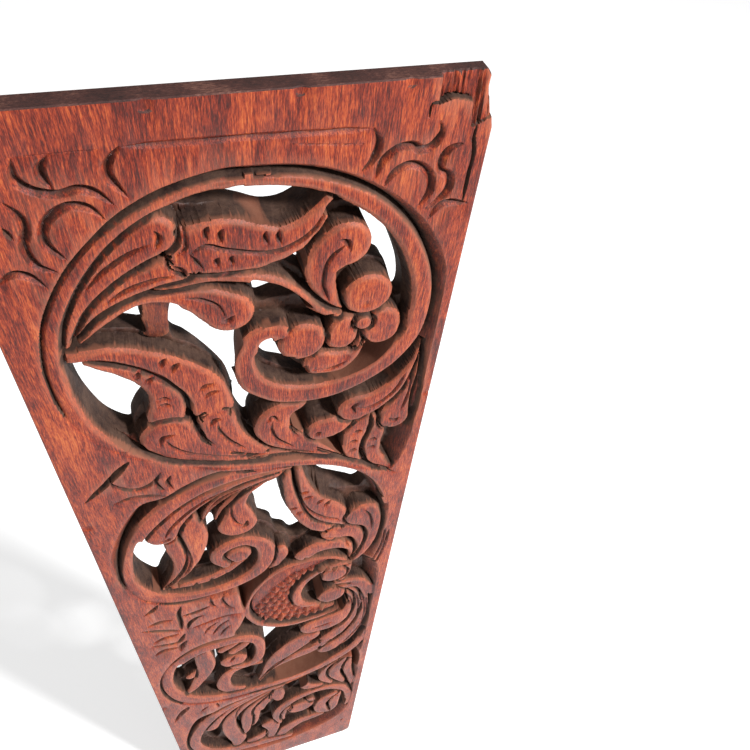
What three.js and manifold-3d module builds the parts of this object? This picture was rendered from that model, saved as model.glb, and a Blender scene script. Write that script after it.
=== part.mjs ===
// Pierced and carved hardwood wall panel: one plank, sawn through and carved on the front with
// spiralling vine scrolls, lobed leaves, a flower and a studded fruit.
// Millimetres. X across, Z up, the carved face looks to -Y and the flat back is at Y = 0.
// The origin is on the back of the top rail, where the panel is fixed to the wall.
import * as THREE from "three";
import { mergeVertices } from "three/addons/utils/BufferGeometryUtils.js";
import Module from "manifold-3d";

// The plank
const WIDTH = 200;
const HEIGHT = 891;
const THICK = 22;
const MOUNT_UP = 861; // from the foot to the fixing point
const BEVEL_UP = 21; // the back falls away over this height at the top end
const BEVEL_IN = 13; // and takes this much off the thickness
const FOOT_RADIUS = 9; // worn corner at the foot, right
const HEAD_RADIUS = 4; // the three other corners are eased
// The carving
const GROUND = 12; // depth of the ground between the stems, below the face
const ROOT = 15; // every stem and leaf is rooted this deep, inside the ground
const FACET = 1.5; // how closely straight facets follow a curve
const SLENDER = 6; // half width under which a stem has two faces instead of four
const SLOPE = 0.8; // how far a stem's foot stands out past its top edge

const wasm = await Module();
wasm.setup();
const { Manifold, Mesh } = wasm;

function solid(geometry) {
  geometry.deleteAttribute("normal");
  geometry.deleteAttribute("uv");
  const g = mergeVertices(geometry, 1e-4);
  const mesh = new Mesh({
    numProp: 3,
    vertProperties: g.attributes.position.array,
    triVerts: new Uint32Array(g.index.array),
  });
  return new Manifold(mesh);
}

// A point on the face, [across from the centre line, up from the foot], at a depth below the face.
function at([across, up], depth) {
  return [across, depth - THICK, up - MOUNT_UP];
}

// A smooth line through points; extra numbers of each point are carried along it.
function smooth(points, closed) {
  const count = points.length;
  const point = (i) => {
    if (closed) return points[(i + count) % count];
    if (i < 0) return points[0].map((v, k) => 2 * v - points[1][k]);
    if (i < count) return points[i];
    return points[count - 1].map((v, k) => 2 * v - points[count - 2][k]);
  };
  const line = [];
  const spans = closed ? count : count - 1;
  for (let i = 0; i < spans; i += 1) {
    const [a, b, c, d] = [point(i - 1), point(i), point(i + 1), point(i + 2)];
    for (let n = 0; n < 4; n += 1) {
      const t = n / 4;
      line.push(b.map((v, k) => 0.5 * (2 * v + (c[k] - a[k]) * t
        + (2 * a[k] - 5 * v + 4 * c[k] - d[k]) * t * t
        + (3 * v - a[k] - 3 * c[k] + d[k]) * t * t * t)));
    }
  }
  line.push(point(closed ? 0 : count - 1));
  const kept = facets(line);
  return closed ? kept.slice(0, -1) : kept;
}

// The fewest of a line's points whose straight runs stay within FACET of it.
function facets(line) {
  const [first, last] = [line[0], line.at(-1)];
  const round = Math.hypot(last[0] - first[0], last[1] - first[1]) < 1e-9;
  let worst = 0;
  let split = 0;
  for (let i = 1; i + 1 < line.length; i += 1) {
    const t = i / (line.length - 1);
    const [x, y] = [line[i][0] - first[0], line[i][1] - first[1]];
    const [u, v] = [last[0] - first[0], last[1] - first[1]];
    const off = round ? Math.hypot(x, y) : Math.abs(x * v - y * u) / Math.hypot(u, v);
    const width = Math.abs((line[i][2] ?? 0) - (first[2] ?? 0) * (1 - t) - (last[2] ?? 0) * t);
    if (off + width / 2 > worst) [worst, split] = [off + width / 2, i];
  }
  if (worst < FACET) return [first, last];
  return [...facets(line.slice(0, split + 1)).slice(0, -1), ...facets(line.slice(split))];
}

// A prism between two depths below the face, from a closed outline on the face.
function prism(outline, from, to) {
  const shape = new THREE.Shape(outline.map(([a, u]) => new THREE.Vector2(a, u)));
  const geometry = new THREE.ExtrudeGeometry(shape, { depth: to - from, bevelEnabled: false });
  geometry.rotateX(Math.PI / 2);
  geometry.translate(0, to - THICK, -MOUNT_UP);
  return solid(geometry);
}

const number = (list, i) => (Array.isArray(list) ? list[i] : list);

// Sections across a line that carries [across, up, half width, depth]; each end is rounded off.
function sections(points, halves, depths, rounded) {
  const line = smooth(points.map((p, i) => [...p, number(halves, i), number(depths, i)]), false);
  const heading = (a, b) => {
    const long = Math.hypot(b[0] - a[0], b[1] - a[1]);
    return [(b[0] - a[0]) / long, (b[1] - a[1]) / long];
  };
  const list = line.map((p, i) => {
    const along = heading(line[Math.max(0, i - 1)], line[Math.min(line.length - 1, i + 1)]);
    return { p, along };
  });
  if (!rounded) return list;
  const nose = (end, way) => {
    const [across, up, half, depth] = end.p;
    const steps = half > 7 ? [38, 72] : [60];
    return steps.map((deg) => {
      const turn = (deg * Math.PI) / 180;
      const out = way * half * Math.sin(turn);
      return {
        p: [across + out * end.along[0], up + out * end.along[1], half * Math.cos(turn), depth],
        along: end.along,
      };
    });
  };
  const head = list[0].p[2] > 2.6 ? nose(list[0], -1).reverse() : [];
  const tail = list.at(-1).p[2] > 2.6 ? nose(list.at(-1), 1) : [];
  return [...head, ...list, ...tail];
}

// A body swept through sections, each a ring of points of the same count.
function loft(rings) {
  const count = rings[0].length;
  const position = rings.flat(2);
  const index = [];
  for (let i = 0; i + 1 < rings.length; i += 1) {
    for (let k = 0; k < count; k += 1) {
      const a = i * count + k;
      const b = i * count + ((k + 1) % count);
      index.push(a, b, b + count, a, b + count, a + count);
    }
  }
  const last = (rings.length - 1) * count;
  for (let k = 1; k + 1 < count; k += 1) {
    index.push(0, k + 1, k, last, last + k, last + k + 1);
  }
  const geometry = new THREE.BufferGeometry();
  geometry.setAttribute("position", new THREE.Float32BufferAttribute(position, 3));
  geometry.setIndex(index);
  return solid(geometry);
}

const raised = [];
const cuts = [];
const openings = [];
const grounds = [];

// A stem, leaf blade or finger: crowned along its middle, rounded over to its edges.
// A slender one comes to a plain ridge.
function limb(points, halves, depths, crown) {
  const slender = Math.max(...[halves].flat()) < SLENDER;
  const rings = sections(points, halves, depths, true).map(({ p, along }) => {
    const [across, up, half, depth] = p;
    const side = (w) => [across - along[1] * w, up + along[0] * w];
    const left = at(side(half + SLOPE), ROOT);
    const right = at(side(-half - SLOPE), ROOT);
    const middle = at(side(0), depth);
    if (slender) return [left, middle, right];
    return [left, at(side(half), depth + crown), middle, at(side(-half), depth + crown), right];
  });
  raised.push(loft(rings));
}

// A round boss or the eye of a scroll.
function disc(across, up, radius, depth) {
  const geometry = new THREE.CylinderGeometry(radius + SLOPE, radius - 1, ROOT - depth, 14);
  geometry.translate(across, (depth + ROOT) / 2 - THICK, up - MOUNT_UP);
  raised.push(solid(geometry));
}

// A V-cut into the face, as wide at each point as its width.
function groove(points, width, depth) {
  const fade = points.map((p, i) => (i % (points.length - 1) ? number(width, i) : 0.6) / 2);
  const rings = sections(points, fade, 0, false).map(({ p, along }) => {
    const [across, up, half] = p;
    const side = (w) => [across - along[1] * w, up + along[0] * w];
    return [at(side(half), -1), at(side(0), (depth * half) / Math.max(...fade)), at(side(-half), -1)];
  });
  cuts.push(loft(rings.map((r) => r.reverse())));
}

// A hole sawn right through the plank.
function opening(...outline) {
  openings.push(prism(smooth(outline, true), -2, THICK + 2));
}

// A hollow sunk to the ground.
function ground(...outline) {
  grounds.push(prism(smooth(outline, true), -2, GROUND));
}

// Sunk ground, from the top scroll down to the foot scroll
ground([0, 862.5], [24, 860.5], [42, 854.5], [58, 845], [72, 833], [83, 819], [91, 803],
     [94.5, 785], [94.5, 740], [94.5, 690], [93, 655], [84, 628], [60, 640], [30, 655], [0, 663],
     [-25, 672], [-46, 685], [-64, 698], [-76, 713], [-84.5, 731], [-88.5, 748], [-89, 768],
     [-87, 784], [-83, 799], [-77, 812], [-68, 826], [-57, 838], [-45, 848.5], [-30, 856.5],
     [-12, 861.5]);
ground([0, 664], [-22, 668], [-40, 662], [-53, 654], [-67, 651], [-80, 631], [-89, 609],
     [-93, 588], [-92, 565], [-88, 545], [-81, 527], [-66, 513], [-45, 506], [-18, 503], [5, 506],
     [30, 512], [62, 508], [82, 500], [89, 530], [90, 565], [88, 590], [80, 614], [66, 632],
     [48, 647], [25, 657]);
ground([-17, 514], [8, 527], [40, 536], [68, 520], [84, 503], [92, 480], [93, 440], [93, 390],
     [93, 340], [92, 300], [78, 284], [50, 266], [15, 262], [-20, 265], [-48, 271], [-66, 280],
     [-80, 293], [-89, 310], [-94, 332], [-94.5, 353], [-91.5, 374], [-85, 392], [-75, 409],
     [-61, 421.5], [-45, 427], [-27, 425], [-19, 441], [-16, 460], [-18, 480], [-19, 497]);
ground([-25, 257], [-42, 253], [-57, 244], [-72, 238], [-81, 219], [-88, 192], [-92, 165],
     [-91, 132], [-84, 102], [-70, 78], [-48, 60], [-20, 50], [10, 48], [38, 56], [62, 68],
     [80, 86], [90, 112], [93, 150], [93, 200], [93, 250], [82, 285], [60, 274], [30, 264],
     [0, 260]);

// Sawn openings of the top scroll
opening([-27, 846], [-16, 850.8], [-4, 852.6], [8, 852.4], [20, 850.2], [30, 845], [27, 837.5],
     [19, 832.8], [10, 832.6], [1, 836.5], [-9, 839.8], [-19, 840], [-24, 841.5]);
opening([36, 840.5], [42, 837.8], [48.5, 833], [43, 833], [36, 833], [33, 835]);
opening([51.5, 830], [58, 826], [65, 816.5], [71, 803.5], [76, 790], [78, 778], [76.5, 771.5],
     [71.5, 776], [70, 786], [66, 796.5], [58, 800.5], [49, 799.5], [43, 794], [41.5, 798],
     [47, 805], [53.5, 811], [55, 819.5]);
opening([9, 812], [17, 814.8], [24.5, 818], [27, 813], [25.5, 804], [28, 797], [24, 800.5],
     [17, 806.5]);
opening([2, 804.5], [9, 802.5], [17, 797.8], [25, 789.5], [31, 780.8], [24, 783.5], [14, 783.8],
     [6.5, 782], [5, 788], [3.6, 796]);
opening([-70, 781.5], [-60, 788.5], [-51, 796], [-45, 797.8], [-45.5, 788], [-44.5, 776.5],
     [-54, 779.3], [-63, 780.6]);
opening([-31, 794.5], [-25, 792.5], [-21, 786], [-18.5, 777], [-12, 774.3], [-6, 774.5], [-3, 768],
     [-7, 757], [-8, 744], [-8, 733], [-10, 727], [-12.4, 737], [-15, 747.5], [-20.6, 756.5], [-28, 764.5], [-33.5, 769],
     [-34.2, 780], [-33, 790]);
opening([-79, 767.5], [-70, 766], [-60, 757], [-54, 750], [-51.5, 740], [-51, 730], [-56, 722],
     [-59.5, 714], [-60, 707], [-64, 708], [-71, 717], [-75.5, 729], [-79, 746]);
opening([-7.5, 739], [-4, 733], [2, 727], [8, 721.8], [13, 718], [8, 714.8], [3, 708.8],
     [-0.5, 701], [-1.6, 693], [-5, 699], [-7.5, 708], [-8.8, 719], [-9.4, 730]);
opening([5, 766], [11, 768], [11, 761], [14.5, 753.5], [22, 751], [21.5, 741], [27, 733.3],
     [36, 730.4], [46, 733.5], [54, 741], [58, 750], [64, 748], [71, 750.5], [75, 753],
     [69.5, 742], [62, 734.8], [50, 729.2], [38, 727.6], [24, 730], [12, 738.5], [5.4, 748],
     [3.6, 758]);
opening([36.8, 775.5], [41, 775.5], [38, 769], [36.4, 763], [35.8, 770]);
opening([30, 712.5], [44, 713.5], [56, 717], [66, 721.5], [76, 730.5], [84, 741], [89, 747],
     [87.5, 738], [84, 727], [77.5, 717], [68, 711.3], [56, 708.6], [47, 708], [45, 702],
     [47, 694.5], [38, 694.8], [31, 692], [28.3, 687], [25, 687], [21, 694], [20.5, 701],
     [24.5, 707]);
opening([34.5, 676.2], [41, 673.8], [49, 678.5], [51.5, 675], [50.8, 665], [53.5, 652.5],
     [50, 655.5], [44, 663.5]);


// Sawn openings of the second scroll
opening([-73, 610.5], [-70, 603], [-64, 597], [-60.5, 591], [-60, 580], [-58.6, 569], [-61, 556],
     [-66.5, 543], [-70.5, 533], [-76, 541], [-81, 555], [-82, 572], [-80.2, 590], [-77, 604]);
opening([-6.6, 624], [2, 631], [12, 631.5], [14.6, 622], [16.4, 606], [20, 591], [26, 575], [34, 562], [40, 556], [36, 551], [30, 548], [24, 546.5], [19, 556.5], [12, 562.5],
     [9.5, 573], [2, 581.5], [-2.6, 588.5], [0.4, 598], [-3, 610], [-6, 620]);
opening([33, 640], [40, 640], [50, 635], [60, 627], [70, 613.5], [74, 603], [69, 596], [62, 598], [52, 601.4], [43, 607], [37, 618], [33, 630]);

opening([-30, 525.5], [-20, 529.5], [-11.5, 537], [-6.5, 547], [-5.2, 558], [-7, 566], [-5, 567],
     [-3, 560], [-3, 550], [-6.5, 538.5], [-14, 529.5], [-24, 524.2], [-34, 521.2], [-42, 522],
     [-36, 523.6]);
opening([-31, 607], [-28, 602], [-27.5, 593], [-22.5, 586.5], [-17, 584.4], [-25, 581],
     [-33, 573.5], [-35.5, 563], [-33.5, 552], [-28, 545.5], [-34, 540], [-44, 540], [-49.5, 545],
     [-44.5, 556], [-39, 570], [-34.6, 585], [-32.6, 598]);
opening([-19.5, 509], [-9, 512], [0, 518], [8, 527], [12, 524.5], [4, 513.5], [-3.5, 503],
     [-9.8, 490.5], [-13.8, 476], [-15.6, 468.5], [-17.6, 480], [-18, 497]);
opening([36, 525.5], [41, 530.5], [48, 531.6], [54, 529.4], [59, 524.6], [62.6, 516.4], [64.6, 509.5],
     [58, 516], [49, 521], [40, 524.6], [31, 525.4], [31.5, 530]);

// Sawn openings beside and below the fruit
opening([37.5, 489], [45, 496.5], [46.5, 490], [46, 483], [49.5, 475.5], [57, 472.5], [54, 463],
     [47, 456], [43.5, 449], [38, 446], [33.4, 450], [31.3, 462], [32.6, 476]);
opening([68, 434], [70.4, 421], [67, 408.5], [60, 408.5], [52, 411], [62, 415.5]);
opening([-26, 427.5], [-20.5, 442], [-16, 457], [-15.2, 449], [-12.6, 437], [-5, 424.5],
     [-0.5, 415.5], [-4, 408], [-11, 411], [-18, 417]);
opening([0.5, 410], [6, 409], [11, 400], [18, 405.5], [26, 402.5], [29, 396], [28.6, 384],
     [22, 372], [12, 361], [4, 348.5], [-0.4, 343], [-0.6, 360], [-0.2, 378], [-0.6, 395]);
opening([-72.5, 394], [-64, 383], [-62.6, 370], [-69, 362.5], [-74, 353.5], [-68.5, 346],
     [-71, 338], [-79.5, 331.5], [-82, 350], [-81, 370], [-78, 385]);
opening([-44.6, 397], [-39.5, 388.5], [-33, 384.5], [-40, 376.5], [-42.6, 368], [-42, 359],
     [-36, 347.5], [-42.5, 335], [-50, 318], [-50.5, 333], [-45.8, 350], [-44.2, 366],
     [-44.6, 383]);
opening([-11.6, 389], [-11, 371], [-15.6, 356], [-20.5, 353], [-17, 362], [-15.2, 374]);
opening([-28.5, 335], [-18, 334.5], [-8, 327.5], [-11, 306], [-14, 290], [-22, 288.5],
     [-30, 297.5], [-34, 314]);
opening([-3, 281], [4, 293], [14, 303.5], [28, 311.5], [44, 316], [56, 313], [65, 306],
     [62.5, 297], [51, 287.5], [36, 280], [19, 276], [5, 277]);
opening([84, 295], [90, 296], [93, 276], [92.5, 254], [89, 248], [86, 264]);

// Sawn openings of the foot scroll
opening([18, 216], [20, 234], [26, 246], [36, 256], [48, 263], [54, 260], [51, 248], [44, 238],
     [35, 226], [27, 212], [21, 204]);
opening([-70, 150], [-67, 170], [-60, 178], [-55, 166], [-53.5, 145], [-56, 122], [-63, 112],
     [-69, 128]);
opening([-10, 196], [-4, 190], [1.5, 174], [1, 156], [-3, 146], [-8.5, 147], [-13, 160],
     [-12, 180]);
opening([-30, 100], [-25, 118], [-18, 132], [-12.6, 126], [-11, 112], [-17, 99], [-24, 94]);
opening([22, 186], [34, 192], [44, 190], [34, 180], [25, 178], [19, 178]);
opening([51, 174], [56, 175], [52.5, 155], [48, 132], [47.5, 114], [43, 115], [41, 128], [46, 142],
     [50, 156]);
opening([17, 136], [24, 139], [31, 134], [32, 122], [26, 115], [18, 116]);
opening([88, 140], [86.5, 118], [79, 98], [66, 82], [50, 71], [34, 65.5], [26, 68], [34, 82],
     [46, 92], [60, 96], [70, 102], [78, 116], [82, 134]);
opening([62, 194], [70, 190], [76, 182], [70, 178], [64, 182]);

// Top scroll: the vine that rings it, runs down as the main stem, and curls in to the eye
limb([[10, 855.5], [-15, 854.5], [-36, 847], [-52, 836], [-64, 823], [-73, 809], [-80, 793],
     [-84, 772], [-84, 750], [-80, 728], [-72, 710], [-60, 694], [-42, 680], [-20, 669.5],
     [0, 663.5], [15, 660], [32, 655.5], [48, 648.5], [62, 638.5], [74, 625], [83, 607],
     [88.5, 585]], [2.8, 3, 3.2, 3.6, 4, 4, 4, 4, 4, 4, 3.8, 3.6, 3.8, 4, 4, 4, 4.2, 4.4, 4.5, 4.5,
     4.4, 3], 0.5, 0.8);
limb([[-4, 855.7], [20, 853.3], [36, 848], [50, 840], [62, 829.5], [72.5, 815.5], [80, 799.5],
     [84, 785], [84.8, 770], [82, 753], [72, 737.5], [57, 726.5], [40, 720.5], [24, 721.5],
     [10, 727], [0, 738], [-3, 752], [-1.5, 761], [4, 769], [14, 770.5]], [2.8, 3.3, 4, 4.8, 4.8, 5,
     5.3, 5.6, 5.8, 6, 6.4, 6.6, 6.7, 6.8, 6.8, 6.2, 5.2, 5.4, 6, 5], 0.5, 0.9);
disc(25.5, 760.5, 12.2, 0.4);

// Hand leaf: two fingers, the long tip leaf, the curled finger over its stub, and a tendril
limb([[-77, 782], [-69, 802], [-57, 817.5], [-44, 829], [-34.5, 834.5]], [2, 4.3, 6.5, 8.8, 9.6],
     [2.7, 2, 1.4, 0.9, 0.7], 1);
limb([[-73, 786], [-62, 800], [-49, 809], [-36, 814.5], [-26, 816.5]], [1.6, 4, 5.5, 6.6, 7],
     [3.1, 2.5, 1.8, 1.4, 1.2], 1);
limb([[-18, 824.5], [-8, 824.5], [3, 822.5], [14, 822], [24, 826.5], [31, 834], [35.5, 842]],
     [13, 14, 12, 9, 6.8, 4.5, 2], [1.1, 0.9, 0.9, 1.1, 1.4, 1.6, 2], 0.8);
limb([[-71, 783], [-60, 793.5], [-46, 801.3], [-32, 801.5], [-19, 796.5], [-8, 787.5]],
     [1.4, 2.6, 2.7, 3.6, 8, 11.2], [2.7, 2.2, 1.8, 1.4, 0.9, 0.6], 1);
limb([[-37, 799], [-37.5, 790], [-39.5, 779]], [7, 6.6, 7], [7, 8, 9], 1);
limb([[-36, 806.3], [-16, 808.6], [2, 805.4], [15, 799.6], [24.5, 789.6], [34, 780], [43, 774.6]],
     [1.8, 2.6, 3, 3, 3, 3, 2.4], 1.9, 1.1);

// Comma leaf and the flower: three petals round an eye, and a bud on its stem
limb([[43.5, 778], [36.5, 790], [33.5, 803], [38, 812.5], [44, 817]], [1.6, 5, 7.6, 10.6, 12],
     [2.5, 2, 1.4, 1.1, 0.8], 1.1);
disc(56.5, 785, 12.3, 0.7);
limb([[46.5, 766], [45.4, 759.4]], [7.6, 8.8], [1.1, 1.3], 0.7);
limb([[65.6, 765], [66, 759.6]], [9.6, 10.2], [1.1, 1.3], 0.7);
disc(55.5, 767.5, 5.4, 0.5);
limb([[56.5, 758], [53.5, 748], [49, 742]], [2.2, 2, 2], 2.7, 0.6);
limb([[58, 751], [53, 744], [44, 740.6], [34.4, 742.3]], [1.2, 3.6, 7.4, 8.4], [2.7, 2.1, 1.4, 1.2],
     1);

// Broad leaf below, and three thumbs rising from the main stem
limb([[-79, 774.5], [-62, 772.5], [-48, 766], [-36, 756.5], [-26, 745], [-21, 733], [-20, 724]],
     [2.6, 5.2, 6.5, 8, 9.4, 10.4, 10.6], [2.2, 1.9, 1.6, 1.4, 1.2, 1.3, 1.5], 0.8);
limb([[-72, 769], [-58, 761], [-48, 753], [-42, 743], [-41, 732], [-43, 723]],
     [1, 3.8, 6, 7.6, 8.8, 9.4], [2.7, 2.4, 2.1, 1.8, 1.9, 2.2], 0.8);
limb([[8, 665.5], [-10, 674], [-24, 684], [-36, 694], [-44, 706]], [1.4, 4.4, 8.4, 12.2, 14.4],
     [2.7, 2.2, 1.7, 1.3, 1], 1.3);
limb([[12, 669], [0, 678], [-11, 689], [-17.5, 702], [-19, 712]], [1.8, 4.8, 8, 9.8, 10],
     [2.7, 2.2, 1.7, 1.3, 1.1], 1.2);
limb([[50, 655], [36, 666], [22, 677], [12, 688], [10, 699], [15, 707.5], [28, 711.5]],
     [1.8, 4.4, 7.4, 9.4, 9.8, 7, 1.4], [2.7, 2.2, 1.7, 1.3, 1.1, 1.3, 1.7], 1.2);
limb([[62, 644], [50, 657.5], [38, 669], [28, 679.5], [22, 691]], [1.4, 3, 3.4, 3.4, 2.2], 2, 0.9);
limb([[-4, 671.5], [14, 671], [30, 665], [46, 656.5]], [1.6, 2.4, 2.6, 2], 2.4, 0.8);

// Right of the stem: bud, two drooping fingers and the split leaf
limb([[60, 685], [51, 685], [44, 684.5], [38, 684]], [1.4, 5.4, 8.8, 9.4], [2.2, 1.6, 1.2, 1], 1.1);
limb([[91, 743], [86.5, 725], [78.5, 710], [68, 701], [57, 697.5]], [0.8, 2.5, 6, 8.4, 10.6],
     [2.7, 2.1, 1.5, 1.2, 0.9], 1.1);
limb([[91, 735], [90, 716], [86, 701], [82.5, 688], [82, 681]], [0.8, 2, 5, 8.8, 10],
     [2.7, 2.2, 1.8, 1.4, 1.2], 1.1);
limb([[66, 688], [60.5, 678], [58, 666], [58.5, 655], [64, 643], [75, 633]],
     [1.5, 7, 6.4, 6, 4, 2], [2.2, 1.6, 1.4, 1.4, 1.6, 1.8], 0.7);
limb([[69, 685], [72, 672], [70, 660], [71, 648], [79, 635], [91, 622]],
     [1.8, 5.4, 6.2, 5.8, 4.4, 1.2], [2.2, 1.6, 1.4, 1.4, 1.4, 1.6], 0.7);

// Second scroll, on the left
limb([[20, 655], [-8, 658], [-29, 654.5], [-46, 645.5], [-59, 634], [-70, 620], [-78, 604],
     [-84, 585], [-86.5, 567], [-84.5, 549], [-78.5, 534], [-67, 522], [-52, 516], [-35, 515],
     [-19, 518.5], [-5, 527.5], [2.5, 541], [3.5, 557], [-1, 569], [-10, 577], [-20, 576.5],
     [-28, 570], [-29.8, 560], [-25, 551]], [1.5, 4.6, 6, 6.5, 6.5, 6, 5, 4.2, 4.2, 4.5, 5.5, 6.4,
     5.7, 5.2, 5.8, 6.5, 6.5, 6.3, 6, 5.4, 5.2, 5, 4.7, 4.5], 0.5, 0.9);
disc(-16, 558.5, 9.4, 0.7);
limb([[15, 651], [-8, 649], [-25, 643], [-42, 633], [-54, 620], [-60, 608]],
     [1.5, 2.5, 4.5, 7, 9, 10.4], [2.1, 1.8, 1.5, 1.4, 1.1, 1], 1);
limb([[-42, 621], [-42, 606], [-41, 592], [-42.5, 577], [-46, 563], [-54, 548], [-66, 534]],
     [4, 8, 8, 5.6, 4, 3, 1.2], [2.2, 1.6, 1.4, 1.4, 1.5, 1.8, 2.2], 0.8);
limb([[-56, 598], [-54, 585], [-52.5, 572], [-54.5, 558], [-60, 545], [-68, 533]],
     [5, 6, 5.5, 4.5, 3.2, 1.2], [2.2, 2, 1.9, 2, 2.2, 2.5], 0.8);
limb([[-36, 612], [-29, 627], [-16, 638.5], [0, 645], [16, 648]], [1, 2.5, 3, 3, 2.4], 2.2, 0.8);
limb([[-27, 611], [-22.5, 621], [-13, 632], [0, 640], [13, 645]], [1, 2.2, 2.6, 2.6, 2], 2.7, 0.8);
limb([[6, 642], [-6, 634], [-12.5, 622], [-13, 610], [-14, 599]], [1.2, 3, 5.4, 9, 12.6],
     [2.7, 2.2, 1.8, 1.4, 0.9], 1.2);
limb([[-62, 532.5], [-48, 531.5], [-35, 533], [-23, 539], [-12, 549]], [1.8, 3.8, 4, 4, 2.6], 2.8,
     0.7);

// Leaf and lobes right of the second scroll
limb([[18, 645], [19.5, 630], [22, 612], [27, 596], [34, 580], [43, 567.5], [56, 561]],
     [3, 3.6, 4.6, 5.6, 6, 5.4, 2], 1.7, 0.7);
limb([[25, 649], [27.5, 633], [31.5, 616], [37.5, 601], [46, 588], [53, 577.5], [60, 566]],
     [2.4, 3.4, 5.4, 8.4, 10.8, 8, 3], [1.8, 1.6, 1.4, 1.1, 1.1, 1.3, 1.6], 0.8);
limb([[68, 500], [76, 513], [81, 530], [82, 546], [79, 561], [71.5, 573]],
     [1.5, 4, 5, 5.6, 8.6, 13.4], [2, 1.6, 1.4, 1.1, 0.9, 0.7], 1.1);
limb([[70, 507], [73, 522], [73, 535], [68.5, 547], [61, 554], [52, 555]],
     [1.4, 2.8, 4, 6, 8.4, 9.4], [2.4, 2.1, 1.8, 1.5, 1.4, 1.2], 1);
limb([[67, 507], [67.5, 520], [63.6, 528.6], [56.6, 536], [47, 539.4], [38, 538.6], [31, 532]],
     [1.2, 2.5, 4, 5.8, 7, 7.6, 7.2], [2.7, 2.2, 1.8, 1.4, 1.2, 1.2, 1.4], 0.9);
limb([[14, 552], [14, 541], [10.5, 531], [6, 524]], [3.5, 5.4, 4, 1.4], 2.2, 0.7);

// Leaves over the left side, between the second and third scrolls
disc(-24, 488, 11.5, 0.3);

// Studded fruit in its husk
limb([[52, 514], [34, 508], [17, 492], [9, 470], [9, 448], [20, 429], [44, 419], [58, 418]],
     [4, 10, 16, 19, 18.5, 14, 6.4, 3], 4.6, 2);
limb([[64, 507], [50, 517.5], [31, 522], [14, 519], [2, 508], [-7.5, 492], [-12.3, 475],
     [-13.5, 457], [-10, 440], [-2, 426], [10, 415.5], [25, 410], [42, 410.5], [58, 413.5],
     [70, 422]], [2, 2, 2.2, 2.2, 2.2, 2.3, 2.4, 2.6, 3, 3.2, 3.4, 3.4, 3, 2.5, 2], 1.5, 0.7);

// Husk curl and the two scroll eyes beside the fruit
limb([[69, 500], [56, 502], [44, 499.5], [34.5, 491.5], [28.5, 480], [25.5, 466], [27, 452],
     [33, 442.5], [46, 438]], [1.6, 2.4, 3.2, 3.8, 4.2, 4.4, 4.4, 3.6, 2], 1.2, 0.9);
disc(56, 486.5, 11, 0.7);
disc(55.5, 447.5, 12.4, 0.9);
limb([[67, 497], [66, 483], [61, 472]], [3, 3.4, 3.4], 1.8, 0.7);
limb([[55, 470.5], [68, 467], [79, 460], [87, 448], [91, 430]], [2, 3.6, 4, 4, 3], 1.5, 0.8);

// Bundle of fingers falling from the lower eye
limb([[60, 455], [70, 458.5], [79, 453], [84.5, 438], [87, 415], [87, 390], [84, 365], [76, 343],
     [65, 330], [57, 325]], [5, 5, 4.4, 4, 4, 4.6, 5.4, 7, 9, 9.6], [1.4, 1.4, 1.4, 1.4, 1.5, 1.5,
     1.4, 1.2, 1.1, 1.2], 1);
limb([[70, 452], [77.5, 440], [80.5, 420], [80, 400], [75, 380], [66, 362], [56, 350]],
     [2, 3, 3.4, 4, 5, 7, 7.6], [2.2, 1.8, 1.6, 1.4, 1.4, 1.4, 1.5], 0.9);
limb([[69, 444], [74.5, 431], [74, 413], [67, 398], [56, 389.5], [43, 388]],
     [1.8, 2.8, 4.6, 9, 14, 13], [2.2, 2, 1.6, 1.4, 1.2, 1.1], 1.1);
limb([[-9, 290], [-2, 311], [6, 329], [17, 346], [29, 360], [40, 368]], [1, 3.5, 7.6, 11, 12, 9],
     [2.2, 1.8, 1.5, 1.4, 1.3, 1.4], 0.9);
limb([[-8, 287], [0, 307], [10, 319.5], [26, 327], [42, 334], [52, 343]], [1, 2.8, 4.8, 6, 8, 7],
     [2.5, 2.2, 2, 1.8, 1.7, 1.6], 0.8);

// Third scroll: from the right edge along the foot of the bundle and round to its eye
limb([[94, 352], [91, 330], [84.5, 312], [71.5, 296.5], [52, 281.5], [29, 273], [5, 270.5],
     [-16, 271.5], [-37, 275], [-55, 281.5], [-69.5, 292.5], [-80, 309], [-86, 330], [-88, 352],
     [-85.5, 372], [-79, 389], [-68, 402.5], [-54, 410], [-38, 412], [-24, 410.5], [-12.5, 402.5],
     [-6.5, 388], [-6, 368], [-9.5, 351.5], [-20, 344.5], [-30, 350]], [2.5, 4, 5, 6, 6, 6, 5.6, 6,
     7.4, 7.8, 7.8, 6.8, 6, 5.4, 5.4, 6, 7, 7.4, 7.4, 6.4, 5.6, 4.8, 4.6, 5, 4.6, 4], 0.6, 0.9);
disc(-29.5, 363, 12, 0.9);
limb([[-54, 402], [-53.5, 386], [-53, 369], [-56, 352], [-62, 337], [-68, 322], [-76, 312]],
     [6, 7.8, 8, 7, 6, 4.4, 2], [2.1, 1.6, 1.4, 1.5, 1.8, 2.1, 2.2], 0.9);
limb([[-62, 357], [-68, 352]], [5, 4.4], 2.2, 0.7);
limb([[-18, 407], [-29, 399], [-38, 392]], [2, 4.2, 4], 2, 0.7);
limb([[-13, 399], [-20, 390], [-29, 382]], [2, 4.6, 4.4], 2.2, 0.7);
limb([[-6, 337], [-21, 341], [-33, 337], [-40, 322], [-42, 305], [-38, 291], [-26, 282]],
     [2, 4, 5, 6, 6.6, 6, 4], [2.2, 1.9, 1.6, 1.5, 1.5, 1.7, 2.1], 0.9);

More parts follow.
